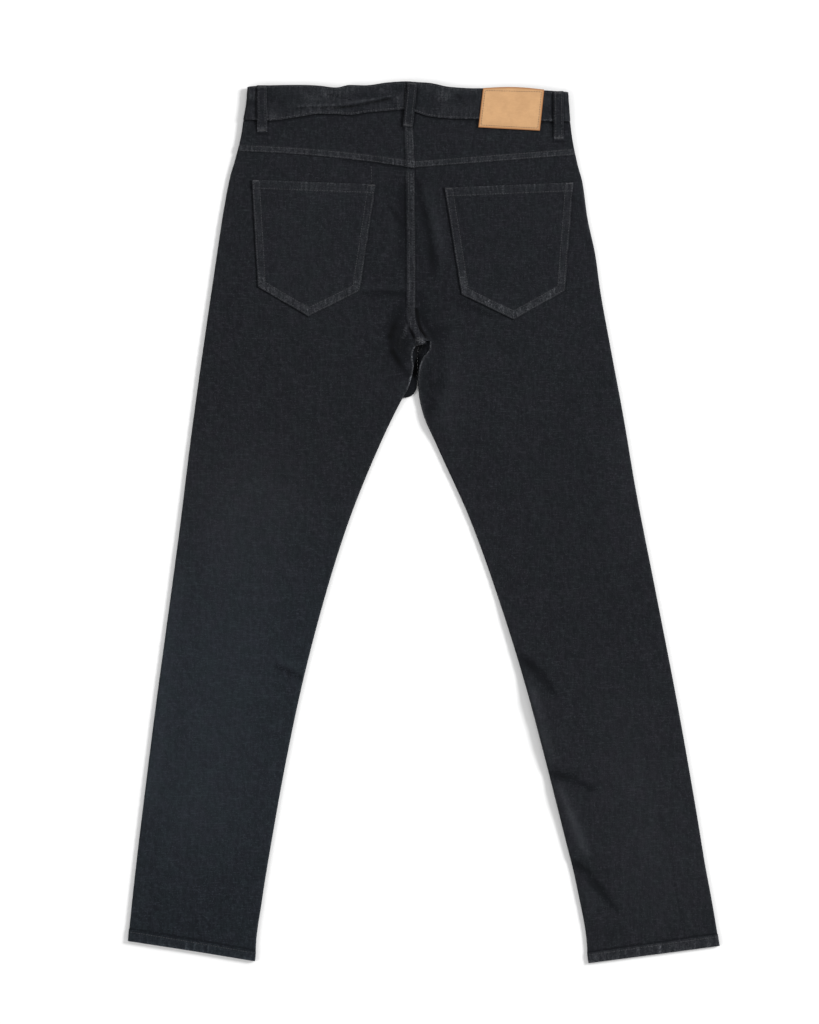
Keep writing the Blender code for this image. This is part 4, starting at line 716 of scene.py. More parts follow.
def yokeDetail(x, y, fromSide, fromInner, along, folded, lapShare, roll):
    end = along.max() - along
    ripple = ticks(fromInner, along, seams["puckerPitch"], 61)
    between = folded * ease(end / 0.0018) * ease((0.0088 - end) / 0.0012)
    extra = seams["pucker"] * ripple * between
    extra = extra - seams["sink"] * folded * twoRows(end, seams["yokeShift"])
    inBand = lapShare * ease((0.0112 - fromInner) / 0.002)
    crossRipple = ticks(along, fromInner, seams["puckerPitch"], 63)
    calm = ease((0.505 - y) / 0.010)
    extra = extra + seams["pucker"] * 0.7 * crossRipple * inBand * ease(fromInner / 0.002) * calm
    extra = extra - seams["sink"] * inBand * calm * twoRows(fromInner)
    wearShadeAndHighlight = folded * (0.20 + 0.75 * unit(ripple) ** 2 * between) + inBand * (0.20 + 0.40 * unit(crossRipple))
    wearShadeAndHighlight = wearShadeAndHighlight + 0.18 * hill(fromSide, 0.0018)
    # painted shadow: darker under the waistband and along the yoke just below its lower edge
    wearShadeAndHighlight = wearShadeAndHighlight - 0.60 * np.exp(-(np.minimum(y - bandLowY(x), 0.0) / 0.0020) ** 2)
    return extra, np.clip(wearShadeAndHighlight, -0.6, 1.0)


def frontDetail(x, y, fromSide, fromInner, along, folded, lapShare, roll):
    extra = np.zeros(np.shape(x))
    wearShadeAndHighlight = 0.35 * hill(fromSide, 0.0018) + 0.10 * roll * hill(fromInner, 0.0018) + 0.35 * folded
    return extra, unit(wearShadeAndHighlight)


legRelief = {"raise": 0.0006, "wider": 0.0005, "thicker": 0.0012}
frontRelief = {"raise": 0.0, "wider": 0.0005, "thicker": 0.0006}
yokeRelief = {"raise": cloth["lap"], "wider": 0.0, "thicker": 0.0}

pieces = {}     # one entry for each cloth piece, by the node that it stands for
threads = {}    # stitch places, by the piece that they hold


def place(piece, node, flat, area, material="denim"):
    pieces[node] = {"piece": piece, "flat": flat, "area": area, "material": material, "with": []}
    return piece


# Panels
cuts = {
    "back_leg_left": ((0.275, 1.014), 0.2082),
    "back_leg_right": ((0.252, 1.027), 0.2056),
    "front_leg_left": ((0.271, 1.058), 0.2101),
    "front_leg_right": ((0.252, 1.075), 0.2089),
    "yoke_left": ((0.223, 0.080), 0.0132),
    "yoke_right": ((0.211, 0.080), 0.0132),
    "pocket_facing_left": ((0.103, 0.080), 0.0060),
    "pocket_facing_right": ((0.102, 0.076), 0.0057),
    "coin_pocket": ((0.069, 0.0365), 0.00185),
    "pocket_back_left": ((0.155, 0.168), 0.0210),
    "pocket_back_right": ((0.161, 0.169), 0.0217),
    "leather_patch": ((0.0795, 0.0526), 0.0040),
    "waistband": ((0.830, 0.0430), 0.0330),
}
grids = {}    # the outer surface of each panel, for the sewing

scoop = {"width": 0.092, "depth": 0.070, "facingDepth": 0.0012, "coinWall": 0.0008}


def makePanel(node, sections, sideX, outside, facing, step, relief, spacing, across, detail,
              recess=None, wall=None):
    outer, inner, info = panelSurface(sections, sideX, outside, facing, step, relief, spacing, across,
                                      detail, recess, wall)
    grids[node] = info
    return place(closedMesh(node + "_cloth", outer, inner, info["wearShadeAndHighlight"]), node, *cuts[node])


def scoopOutline(sideX, inset):
    inward = 1.0 if sideX is leftSideX else -1.0
    cornerX = float(sideX(0.5))
    reach, drop = scoop["width"] - inset, scoop["depth"] - inset
    angles = np.linspace(0.0, math.pi / 2, 33)
    points = [(cornerX + inward * reach * math.cos(a), 0.5 - drop * math.sin(a)) for a in angles]
    points += [(cornerX - inward * 0.05, points[-1][1]), (cornerX - inward * 0.05, 0.56)]
    return points + [(cornerX + inward * reach, 0.56)]


def coinOutline():
    cornerX = float(rightSideX(0.5))
    angles = np.radians(np.linspace(81.0, 27.0, 25))
    arc = [(cornerX - 0.0905 * math.cos(a), 0.5 - 0.0685 * math.sin(a)) for a in angles]
    mouth = [(cornerX - 0.0820, 0.4780), (cornerX - 0.0160, 0.4700)]
    return mouth + [p for p in arc if p[0] <= cornerX - 0.0159]


def trim(piece, outline, operation):
    count = len(outline)
    turn = sum(outline[i - 1][0] * outline[i][1] - outline[i][0] * outline[i - 1][1] for i in range(count))
    outline = outline if turn > 0.0 else outline[::-1]
    verts = [(x, y, -0.01) for x, y in outline] + [(x, y, 0.03) for x, y in outline]
    faces = [tuple(range(count))[::-1], tuple(range(count, 2 * count))]
    faces += [(i, (i + 1) % count, (i + 1) % count + count, i + count) for i in range(count)]
    cutterMesh = bpy.data.meshes.new("cutter")
    cutterMesh.from_pydata(verts, [], faces)
    cutter = bpy.data.objects.new("cutter", cutterMesh)
    bpy.context.scene.collection.objects.link(cutter)
    change = piece.modifiers.new("trim", "BOOLEAN")
    change.object, change.operation, change.solver = cutter, operation, "EXACT"
    bpy.context.view_layer.update()
    made = bpy.data.meshes.new_from_object(piece.evaluated_get(bpy.context.evaluated_depsgraph_get()))
    piece.modifiers.clear()
    old, piece.data = piece.data, made
    bpy.data.meshes.remove(old)
    bpy.data.objects.remove(cutter)
    bpy.data.meshes.remove(cutterMesh)


def facingRecess(distance, x, y):
    fromWaist = ease((0.496 - dip(x) - y) / 0.016)
    return scoop["facingDepth"] * ease((distance - 0.003) / 0.006) * fromWaist


def coinRecess(distance, x, y):
    return facingRecess(distance, x, y) - scoop["coinWall"] - cloth["gap"]


def makePanels():
    lap = cloth["lap"]
    for side, rows, sideX, step in (("left", leftSeat + leftLeg, leftSideX, lap),
                                    ("right", rightSeat + rightLeg, rightSideX, 0.0)):
        makePanel("back_leg_" + side, rows, sideX, backTopFine, 1, step, legRelief,
                  (0.0018, 0.0032), 0.0033, legDetail)
    for side, rows, sideX, step in (("left", leftYoke, leftSideX, lap),
                                    ("right", rightYoke, rightSideX, 0.0)):
        makePanel("yoke_" + side, rows, sideX, backTopFine, 1, step, yokeRelief, 0.0014, 0.0017, yokeDetail)
    noRelief = {"raise": 0.0, "wider": 0.0, "thicker": 0.0}
    # room for the waistband's lapped end
    lapNotch = [(-0.0535, 0.4855), (-0.0055, 0.4855), (-0.0055, 0.5300), (-0.0535, 0.5300)]
    for side, rows, sideX, step in (
        ("left", leftFront + leftLeg, leftSideX, 0.0),
        ("right", rightFront + rightLeg, rightSideX, -cloth["lap"]),
    ):
        front = makePanel("front_leg_" + side, rows, sideX, frontUnderFine, -1, step, frontRelief,
                          0.0045, 0.0055, frontDetail)
        trim(front, scoopOutline(sideX, 0.0), "DIFFERENCE")
        trim(front, lapNotch, "DIFFERENCE")
        facing = makePanel("pocket_facing_" + side, rows[:8], sideX, frontUnder, -1, step, noRelief,
                           0.0040, 0.0040, frontDetail, facingRecess)
        trim(facing, scoopOutline(sideX, cloth["gap"]), "INTERSECT")
    coin = makePanel("coin_pocket", rightFront[:6], rightSideX, frontUnder, -1, 0.0, noRelief,
                     0.0030, 0.0030, frontDetail, coinRecess, scoop["coinWall"])
    trim(coin, coinOutline(), "INTERSECT")


# Waistband
band = {
    "thickness": 0.0022,
    "backTop": 0.0095,
    "frontUnder": 0.0018,
    "innerLap": 0.0018,
    "lapEndLeft": -0.0140,
    "lapStartRight": -0.0065,
    "lapEndRight": -0.0520,
    "edgeRound": 0.0009,
    "pucker": 0.00030,     # ripples along the two edges
    "puckerPitch": 0.0062,
    "rowIn": 0.0022,       # stitch rows from the edges
    # each side turn: outermost x, side, top edge where it starts and ends, low edge
    "leftTurn": (-0.2216, -1, 0.5415, 0.5428, 0.5012),
    "rightTurn": (0.1814, 1, 0.5362, 0.5352, 0.4990),
}


bandFront = {"left": (0.5425, 0.5014), "right": (0.5360, 0.4992)}    # upper and lower edge at the sides


def bandBackTop(x, y):
    return band["backTop"] + formHeight("back", x, y) + formHeight("band", x, y)


def bandPucker(s, y, top, low, strength=1.0):
    # ripples drawn up by the two edge rows, calmer in the middle
    height = top - low
    nearTop, nearLow = np.exp(-((top - y) / 0.0085) ** 2), np.exp(-((y - low) / 0.0085) ** 2)
    upper = ticks(s, y, band["puckerPitch"], 71)
    lower = ticks(s + 0.0021, y, band["puckerPitch"] * 1.07, 75)
    slant = ticks(s + 0.35 * (y - low), y, 0.0115, 79)
    raised = band["pucker"] * (upper * nearTop + lower * nearLow) + 0.00014 * slant
    raised = raised + 0.00022 * unevenness(s, y, 0.020, 0.012, 83)
    sunk = seams["sink"] * (groove(top - y, band["rowIn"]) + groove(y - low, band["rowIn"]))
    blotch = np.clip(unevenness(s, y, 0.024, 0.014, 87), 0.0, 1.0)
    wearShadeAndHighlight = 0.07 + 0.30 * unit(upper) * nearTop + 0.30 * unit(lower) * nearLow + 0.30 * blotch
    wearShadeAndHighlight = wearShadeAndHighlight + np.where(s > 0.45, 0.05, 0.0)
    wearShadeAndHighlight = wearShadeAndHighlight + 0.26 * np.exp(-((top - y) / 0.0013) ** 2) + 0.30 * np.exp(-((y - low) / 0.0013) ** 2)
    wearShadeAndHighlight = wearShadeAndHighlight - 0.20 * np.clip(unevenness(s, y, 0.016, 0.009, 91), 0.0, 1.0)
    return (raised - sunk) * strength * ease(height / 0.02), np.clip(wearShadeAndHighlight, -0.5, 1.0)


def makeWaistband():
    radius = (band["backTop"] - band["frontUnder"]) / 2
    middle = (band["backTop"] + band["frontUnder"]) / 2
    thickness = band["thickness"]
    stations = []    # x and z outside, x and z inside, top, low, side shift, on the back

    def frontEdges(x, side):
        topY, lowY = bandFront[side]
        return topY - float(dip(x)), lowY - 0.85 * float(dip(x))

    def fold(sideX, sideSign, topFrom, topTo, low, side):
        for k in range(1, 14):
            share = k / 14
            angle = math.radians(270.0 - 180.0 * share if sideSign < 0 else 90.0 - 180.0 * share)
            centre = sideX - sideSign * radius
            cos, sin = math.cos(angle), math.sin(angle)
            inside = radius - thickness
            top = topFrom + (topTo - topFrom) * share
            stations.append((centre + radius * cos, middle + radius * sin, centre + inside * cos,
                             middle + inside * sin, top, low, side, 0))
    for x in np.linspace(band["lapEndLeft"], -0.2140, 72):
        top, low = frontEdges(x, "left")
        stations.append((x, band["frontUnder"], x, band["frontUnder"] + thickness, top, low, None, 0))
    fold(*band["leftTurn"], leftSideX)
    for x in np.linspace(bandBack[0][0], bandBack[-1][0], 260):
        stations.append((x, band["backTop"], x, band["backTop"] - thickness,
                         float(bandTopY(x)), float(bandLowY(x)), None, 1))
    fold(*band["rightTurn"], rightSideX)
    rightFrontX = np.linspace(bandBack[-1][0], band["lapStartRight"], 62)
    for x in np.concatenate([rightFrontX, np.linspace(-0.0115, band["lapEndRight"], 16)]):
        top, low = frontEdges(x, "right")
        lapped = x < band["lapStartRight"] - 0.001
        under = band["frontUnder"] + (thickness + cloth["gap"] if lapped else 0.0)
        inside = under + (band["innerLap"] if lapped else thickness)
        stations.append((x, under, x, inside, top, low, None, 0))
    edge = np.array([0.0, 0.00008, 0.00025, 0.0005, 0.0009, 0.0014, 0.0020, 0.0026, 0.0034])
    outer, inner, wearShadeAndHighlight = [], [], []
    s = 0.0
    last = None
    for xo, zo, xi, zi, top, low, side, back in stations:
        s += 0.0 if last is None else math.hypot(xo - last[0], zo - last[1])
        last = (xo, zo)
        height = top - low
        d = np.concatenate([edge, np.linspace(0.0034, height - 0.0034, 32)[1:-1], height - edge[::-1]])
        y = low + d
        shift = side(y) - float(side(0.5219)) if side else np.zeros(len(y))
        bump = 0.0 * y
        if back:
            bump = sum(formHeight(layer, xo + 0 * y, y) for layer in ("back", "band", "bandFine"))
        ripple, worn = bandPucker(s + 0.0 * y, y, top, low)
        away = np.array([xi - xo, zi - zo]) / math.hypot(xi - xo, zi - zo)
        endRound = min(len(outer), len(stations) - 1 - len(outer))
        rim = edgeDrop(np.minimum(d, height - d), band["edgeRound"])
        rim = np.maximum(rim, 0.0006 if endRound == 0 else 0.0)
        outX, outZ = xo + shift + away[0] * (rim - ripple), zo + bump + away[1] * (rim - ripple)
        inX, inZ = xi + shift - away[0] * rim, zi + bump - away[1] * rim
        outer.append(np.stack([outX, y, outZ], 1))
        inner.append(np.stack([inX, y, inZ], 1))
        wearShadeAndHighlight.append(worn)
    piece = closedMesh("waistband_cloth", np.array(outer), np.array(inner), np.array(wearShadeAndHighlight))
    place(piece, "waistband", *cuts["waistband"])


# Back pockets
pocket = {
    "width": 0.155,          # for the spacing of the mesh; the corners give the real widths
    "meshStep": 0.0019,
    "hem": 0.0120,           # folded mouth
    "hemRelief": 0.0006,
    "rows": (0.0016, 0.0094),
    "hemRowIn": 0.0018,      # the mouth's row from the fold
    "pucker": 0.00020,
    "bag": 0.0004,           # slack in the middle
    "lift": 0.0004,          # how far the rim stands off the seat
}


def toLine(px, py, a, b):
    ax, ay = b[0] - a[0], b[1] - a[1]
    t = np.clip(((px - a[0]) * ax + (py - a[1]) * ay) / (ax * ax + ay * ay), 0.0, 1.0)
    return np.hypot(px - a[0] - ax * t, py - a[1] - ay * t), t * math.hypot(ax, ay)


def makePocket(node, corners, seed):
    leftTop, rightTop, rightLow, tip, leftLow = [np.array(c) for c in corners]
    depth = (np.linalg.norm(leftLow - leftTop) + np.linalg.norm(rightLow - rightTop)) / 2
    us = np.unique(np.concatenate([spread(pocket["width"], pocket["meshStep"]) / pocket["width"], [0.5]]))
    aroundHem = [pocket["hem"] + shift for shift in (-0.0009, -0.0003, 0.0003, 0.0009)]
    vs = spread(depth, pocket["meshStep"], aroundHem) / depth
    u, v = np.meshgrid(us, vs)
    mouth = leftTop + (rightTop - leftTop) * u[..., None]
    base = np.where(u[..., None] <= 0.5, leftLow + (tip - leftLow) * 2 * u[..., None],
                    tip + (rightLow - tip) * (2 * u[..., None] - 1))
    plan = mouth + (base - mouth) * v[..., None]
    x, y = plan[..., 0], plan[..., 1]
    mouthAway, mouthAlong = toLine(x, y, leftTop, rightTop)
    edges = ((leftTop, leftLow), (leftLow, tip), (rightLow, tip), (rightTop, rightLow))
    sides = [toLine(x, y, a, b) for a, b in edges]
    away = np.minimum.reduce([s[0] for s in sides])
    nearest = np.argmin([s[0] for s in sides], axis=0)
    along = np.choose(nearest, [s[1] + 0.17 * i for i, s in enumerate(sides)])
    rim = np.maximum(edgeDrop(away, cloth["edgeRound"]), edgeDrop(mouthAway, cloth["edgeRound"]))
    ripple = ticks(along, away, 0.0060, seed)
    mouthRipple = ticks(mouthAlong, mouthAway, 0.0052, seed + 3)
    inBorder = ease((0.0105 - away) / 0.002) * ease(away / 0.002)
    inHem = ease((pocket["hem"] - mouthAway) / 0.002) * ease(mouthAway / 0.002)
    hem = ease((pocket["hem"] + 0.0006 - mouthAway) / 0.0012)
    raised = pocket["hemRelief"] * hem + pocket["pucker"] * (ripple * inBorder + mouthRipple * inHem)
    for row in pocket["rows"]:
        raised = raised - seams["sink"] * groove(away, row)
    raised = raised - seams["sink"] * groove(mouthAway, pocket["hem"] - pocket["hemRowIn"])
    middle = np.clip(away / 0.03, 0.0, 1.0) * np.clip(mouthAway / 0.03, 0.0, 1.0)
    raised = raised + pocket["bag"] * (0.5 + 0.5 * unevenness(x, y, 0.030, 0.045, seed + 5)) * ease(middle)
    level = backTop(x, y) + swell(x, y, 11) + formHeight("backFine", x, y) + cloth["gap"]
    level = level + pocket["lift"] * np.exp(-(np.minimum(away, mouthAway) / 0.006) ** 2)
    top = np.stack([x, y, level + cloth["wall"] + raised - rim], 2)
    low = np.stack([x, y, level + np.minimum(rim, 0.0004)], 2)
    lowEdge = ease((away + 0.03 - np.minimum(sides[1][0], sides[2][0])) / 0.03)
    lowEdge = lowEdge * (0.70 if node.endswith("left") else 1.20)
    wearShadeAndHighlight = inBorder * (0.10 + 0.14 * lowEdge + (0.22 + lowEdge) * unit(ripple) ** 2)
    wearShadeAndHighlight = wearShadeAndHighlight + hem * (0.08 + 0.46 * unit(mouthRipple) ** 2)
    uneven = np.clip(0.55 + 0.75 * unevenness(along, mouthAlong, 0.010, 0.05, seed + 7), 0.0, 1.3)
    wearShadeAndHighlight = wearShadeAndHighlight + 0.30 * uneven * hill(away, 0.0012) + 0.30 * hill(mouthAway, 0.0012)
    piece = closedMesh(node + "_cloth", top, low, unit(wearShadeAndHighlight))
    place(piece, node, *cuts[node])
    centre = (leftTop + rightTop + rightLow + tip + leftLow) / 5
    border = [leftTop, leftLow, tip, rightLow, rightTop]
    addStitches(piece, [insetLine(border, row, centre) for row in pocket["rows"]])
    down = pocket["hem"] - pocket["hemRowIn"]
    normal = np.array([rightTop[1] - leftTop[1], leftTop[0] - rightTop[0]])
    normal = normal / np.linalg.norm(normal)
    first = leftTop + normal * down + (rightTop - leftTop) * 0.012
    lastOne = rightTop + normal * down - (rightTop - leftTop) * 0.012
    addStitches(piece, [[first, lastOne]])
    for corner, sign in ((leftTop, 1.0), (rightTop, -1.0)):
        start = corner + normal * 0.0012 + np.array([sign * 0.0016, 0.0])
        addTack(piece, start, start + np.array([sign * 0.0076, 0.0]) + normal * 0.0002)


def insetLine(line, amount, centre):
    # the same line moved in towards the middle
    moved = []
    for i in range(len(line) - 1):
        a, b = np.array(line[i]), np.array(line[i + 1])
        n = np.array([a[1] - b[1], b[0] - a[0]]) / np.linalg.norm(b - a)
        if np.dot(n, centre - a) < 0:
            n = -n
        moved.append((a + n * amount, b + n * amount))
    points = [moved[0][0]]
    for (a, b), (c, d) in zip(moved, moved[1:]):
        m = np.array([[b[0] - a[0], c[0] - d[0]], [b[1] - a[1], c[1] - d[1]]])
        t = np.linalg.solve(m, c - a)[0]
        points.append(a + (b - a) * t)
    return points + [moved[-1][1]]


# Patch, loops and button
patch = {"width": 0.0765, "height": 0.050, "thickness": 0.0013, "edgeRound": 0.0006, "arc": 0.0022,
         "rowIn": 0.0030}


def makePatch():
    lowLeft, lowRight, topRight, topLeft = [np.array(c) for c in patchCorners]
    wide, high = patch["width"], patch["height"]
    us, vs = spread(wide, 0.0016) / wide, spread(high, 0.0014) / high
    u, v = np.meshgrid(us, vs)
    u3, v3 = u[..., None], v[..., None]
    plan = (lowLeft + (lowRight - lowLeft) * u3) * (1 - v3) + (topLeft + (topRight - topLeft) * u3) * v3
    x, y = plan[..., 0], plan[..., 1]
    y = y + patch["arc"] * np.sin(np.pi * u) * v
    away = np.minimum(np.minimum(u, 1 - u) * wide, np.minimum(v, 1 - v) * high)
    drop = 0.0013 * ease((bandLowY(x) - y) / 0.010)
    level = bandBackTop(x, y) + cloth["gap"] - drop
    soft = 0.00022 * unevenness(x, y, 0.020, 0.014, 91) - 0.00016 * groove(away, patch["rowIn"], 0.0006)
    rim = edgeDrop(away, patch["edgeRound"])
    top = np.stack([x, y, level + patch["thickness"] + soft - rim], 2)
    low = np.stack([x, y, level + np.minimum(rim, 0.0004)], 2)
    wearShadeAndHighlight = hill(away, 0.0016)
    piece = closedMesh("leather_patch_leather", top, low, wearShadeAndHighlight)
    place(piece, "leather_patch", *cuts["leather_patch"], "leather")
    inset = [np.array(c) for c in patchCorners]
    centre = sum(inset) / 4
    ring = insetLine(inset + inset[:2], patch["rowIn"], centre)[1:5]
    addStitches(piece, [ring + ring[:1]])


loop = {"width": 0.0126, "thickness": 0.0012, "ridge": 0.0004, "bow": 0.0012, "rowIn": 0.0026}


def loopLevel(x, y, centre):
    top, low = bandTopY(x), bandLowY(x)
    overBand = bandBackTop(x, y) + cloth["gap"]
    overYoke = backTop(x, y) + cloth["gap"] + (cloth["lap"] if centre else 0.0)
    share = ease((low - y) / 0.009)
    bow = loop["bow"] * np.sin(np.pi * np.clip((top - y) / (top - low), 0.0, 1.0))
    return overBand + bow + (overYoke - overBand) * share


def frontLoopLevel(x, y, centre):
    share = ease((0.5005 - dip(x) * 0.85 - y) / 0.009)
    underBand = band["frontUnder"] - cloth["gap"]
    underFront = frontUnder(x, y) - cloth["gap"]
    return np.maximum(underBand + (underFront - underBand) * share, loop["thickness"])


def makeLoop(node, ends, level, facing):
    top, low = np.array(ends[0]), np.array(ends[1])
    length = np.linalg.norm(low - top)
    along = (low - top) / length
    across = np.array([-along[1], along[0]])
    ds, ws = spread(length, 0.0013), spread(loop["width"], 0.0010)
    w, d = np.meshgrid(ws, ds)
    middle = top + along * d[..., None]
    plan = middle + across * (w[..., None] - loop["width"] / 2)
    x, y = plan[..., 0], plan[..., 1]
    fromEnd, fromEdge = np.minimum(d, length - d), np.minimum(w, loop["width"] - w)
    height = level(middle[..., 0], y, node.endswith("centre"))
    rim = np.maximum(edgeDrop(fromEnd, cloth["edgeRound"]), edgeDrop(fromEdge, cloth["edgeRound"]))
    ripple = ticks(d, w, 0.0042, 101)
    relief = loop["ridge"] * (np.exp(-((fromEdge - 0.0012) / 0.0012) ** 2) - 0.4) * 0.6
    relief = relief + 0.00016 * ripple * ease(fromEdge / 0.001)
    relief = relief - 0.8 * seams["sink"] * groove(fromEdge, loop["rowIn"], 0.0006)
    relief = relief - 0.0003 * np.exp(-((fromEnd - 0.0022) / 0.0016) ** 2)
    topZ = height + facing * (loop["thickness"] + relief - rim)
    if facing < 0:
        topZ = np.maximum(topZ, 0.0)
    top3 = np.stack([x, y, topZ], 2)
    low3 = np.stack([x, y, height + facing * np.minimum(rim, 0.0004)], 2)
    wearShadeAndHighlight = 0.03 + 0.26 * hill(fromEdge, 0.0013) * np.clip(0.4 + ripple, 0, 1)
    wearShadeAndHighlight = wearShadeAndHighlight + 0.22 * unit(ripple) * hill(fromEdge, 0.003)
    wearShadeAndHighlight = wearShadeAndHighlight + 0.45 * np.exp(-((length - d - 0.003) / 0.003) ** 2) + 0.25 * hill(d, 0.003)
    piece = closedMesh(node + "_cloth", top3, low3, unit(wearShadeAndHighlight))
    place(piece, node, (loop["width"] + 0.0004, round(length + 0.0008, 4)), round(loop["width"] * length, 6))
    for side in (-1.0, 1.0):
        shift = across * side * (loop["width"] / 2 - loop["rowIn"])
        addStitches(piece, [[top + along * 0.003 + shift, low - along * 0.003 + shift]], facing)
    for end, sign in ((top, 1.0), (low, -1.0)):
        start = end + along * sign * 0.0022 - across * (loop["width"] / 2 - 0.0014)
        addTack(piece, start, start + across * (loop["width"] - 0.0028), facing)


button = {"radius": 0.0085, "height": 0.0015, "centre": (-0.0300, 0.5055)}


def makeButton():
    r = button["radius"]
    # radius and height of each ring, from the middle of the face round the rim to the back
    rings = [(0.0006, 0.00075), (0.0012, 0.00070), (0.0022, 0.00055), (0.0036, 0.00045), (0.0044, 0.00040),
             (0.0049, 0.00018), (0.0054, 0.00004), (0.0062, 0.0), (0.0071, 0.00002), (0.0077, 0.00012),
             (0.0082, 0.00034), (r, 0.0007), (r, 0.0011), (0.0082, 0.00134), (0.0075, 0.00146),
             (0.0060, button["height"])]
    sides = 64
    verts = [(0.0, 0.0, 0.00078)]
    for radius, z in rings:
        turn = [2 * math.pi * k / sides for k in range(sides)]
        verts += [(radius * math.cos(a), radius * math.sin(a), z) for a in turn]
    verts.append((0.0, 0.0, button["height"]))
    faces = [(0, 1 + (k + 1) % sides, 1 + k) for k in range(sides)]
    for ring in range(len(rings) - 1):
        a = 1 + ring * sides
        b = a + sides
        faces += [(a + k, a + (k + 1) % sides, b + (k + 1) % sides, b + k) for k in range(sides)]
    a = 1 + (len(rings) - 1) * sides
    faces += [(a + k, a + (k + 1) % sides, len(verts) - 1) for k in range(sides)]
    mesh = bpy.data.meshes.new("fly_button_metal")
    cx, cy = button["centre"]
    mesh.from_pydata([(x + cx, y + cy, z) for x, y, z in verts], [], faces)
    mesh.update()
    mesh.shade_smooth()
    piece = bpy.data.objects.new("fly_button_metal", mesh)
    bpy.context.scene.collection.objects.link(piece)
    pieces["fly_button"] = {"piece": piece, "flat": None, "area": None, "material": "button", "with": []}


# Sewing
thread = {
    "pitch": 0.0031,       # from one stitch to the next
    "length": 0.0024,
    "radius": 0.00027,
    "proud": 0.00006,      # axis above the cloth
    "tackPitch": 0.00062,
    "tackLength": 0.0019,
    "tackWidth": 1.1,      # how much thicker than a plain stitch
    "steepest": 0.0009,    # a stitch whose ends differ more than this in height is left out
}


def addRow(piece, starts, ends, facing, radius):
    threads.setdefault(piece.name, []).append((piece, starts, ends, facing, radius))


def addStitches(piece, lines, facing=1):
    for line in lines:
        pts = np.array([np.asarray(p, float)[:2] for p in line])
        seg = np.hypot(*np.diff(pts, axis=0).T)
        total = np.concatenate([[0.0], np.cumsum(seg)])
        count = max(1, int(total[-1] / thread["pitch"]))
        at = (np.arange(count) + 0.5) * total[-1] / count
        half = thread["length"] / 2
        starts, ends = (np.stack([np.interp(a, total, pts[:, axis]) for axis in (0, 1)], 1)
                        for a in (at - half, at + half))
        addRow(piece, starts, ends, facing, thread["radius"])


def addTack(piece, start, end, facing=1):
    # a short bar of close stitches across the line
    start, end = np.array(start), np.array(end)
    length = np.linalg.norm(end - start)
    along = (end - start) / length
    across = np.array([-along[1], along[0]])
    count = max(3, int(length / thread["tackPitch"]))
    centres = start + along * (np.arange(count)[:, None] + 0.5) * length / count
    half = across * thread["tackLength"] / 2
    addRow(piece, centres - half, centres + half, facing, thread["radius"] * thread["tackWidth"])


def treeOf(piece):
    mesh = piece.data
    verts = np.empty(len(mesh.vertices) * 3, np.float32)
    mesh.vertices.foreach_get("co", verts)
    corners = [tuple(v) for v in verts.reshape(-1, 3).tolist()]
    return BVHTree.FromPolygons(corners, [tuple(p.vertices) for p in mesh.polygons])


def makeThreads():
    around, stops = 6, [(-1.0, 0.12), (-0.82, 0.72), (-0.4, 1.0), (0.4, 1.0), (0.82, 0.72), (1.0, 0.12)]
    template = [(s, r * math.cos(2 * math.pi * k / around), r * math.sin(2 * math.pi * k / around))
                for s, r in stops for k in range(around)]
    shape = np.array(template)
    quads = []
    for ring in range(len(stops) - 1):
        for k in range(around):
            a, b = ring * around + k, ring * around + (k + 1) % around
            quads.append((a, b, b + around, a + around))
    quads = np.array(quads)
    rise = np.array([-0.9, -0.3, 0.0, 0.0, -0.3, -0.9]).repeat(around)    # ends dip into the cloth
    for name, rows in threads.items():
        tree = treeOf(rows[0][0])
        verts, faces = [], []
        for _, starts, ends, facing, radius in rows:
            for a, b in zip(starts, ends):
                hits = []
                for p in (a, b):
                    hit = tree.ray_cast(Vector((p[0], p[1], 0.06 * facing)), Vector((0, 0, -facing)))
                    hits.append(hit)
                if hits[0][0] is None or hits[1][0] is None:
                    continue
                if abs(hits[0][0].z - hits[1][0].z) > thread["steepest"]:
                    continue
                p0, p1 = np.array(hits[0][0]), np.array(hits[1][0])
                n = np.array(hits[0][1]) + np.array(hits[1][1])
                t = (p1 - p0) / np.linalg.norm(p1 - p0)
                n = n - t * np.dot(n, t)
                n = n / np.linalg.norm(n)
                if n[2] * facing < 0:
                    n = -n
                side = np.cross(t, n)
                half = np.linalg.norm(p1 - p0) / 2
                centre = (p0 + p1) / 2 + n * thread["proud"]
                pts = centre + np.outer(shape[:, 0] * half, t) + np.outer(shape[:, 1] * radius, side)
                pts = pts + np.outer(shape[:, 2] * radius * 0.8 + rise * radius, n)
                if facing < 0:
                    pts[:, 2] = np.maximum(pts[:, 2], 0.0)
                faces.append(quads + len(verts) * len(shape))
                verts.append(pts)
        if not verts:
            continue
        label = name.replace("_cloth", "").replace("_leather", "") + "_stitches"
        made = meshFrom(label, np.concatenate(verts), np.concatenate(faces))
        node = next(n for n, entry in pieces.items() if entry["piece"].name == name)
        pieces[node]["with"].append(made)


def gridLine(node, fromInner=None, fromEnd=None, start=0.0, stop=1e9, every=2):
    # a line in plan on a panel, at a distance from its inner edge or its lower end
    info = grids[node]
    points = []
    if fromInner is not None:
        for i in range(0, len(info["along"]), every):
            order = np.argsort(info["fromInner"][i])
            key = info["fromInner"][i][order]
            if start <= info["along"][i] <= stop:
                points.append(tuple(np.interp(fromInner, key, info[axis][i][order]) for axis in "xy"))
        return points
    end = info["along"][-1] - info["along"]
    order = np.argsort(end)
    for j in range(0, info["x"].shape[1], every):
        if not 0.0012 < info["fromSide"][0, j] or not 0.0006 < info["fromInner"][0, j]:
            continue
        points.append(tuple(np.interp(fromEnd, end[order], info[axis][order, j]) for axis in "xy"))
    return points


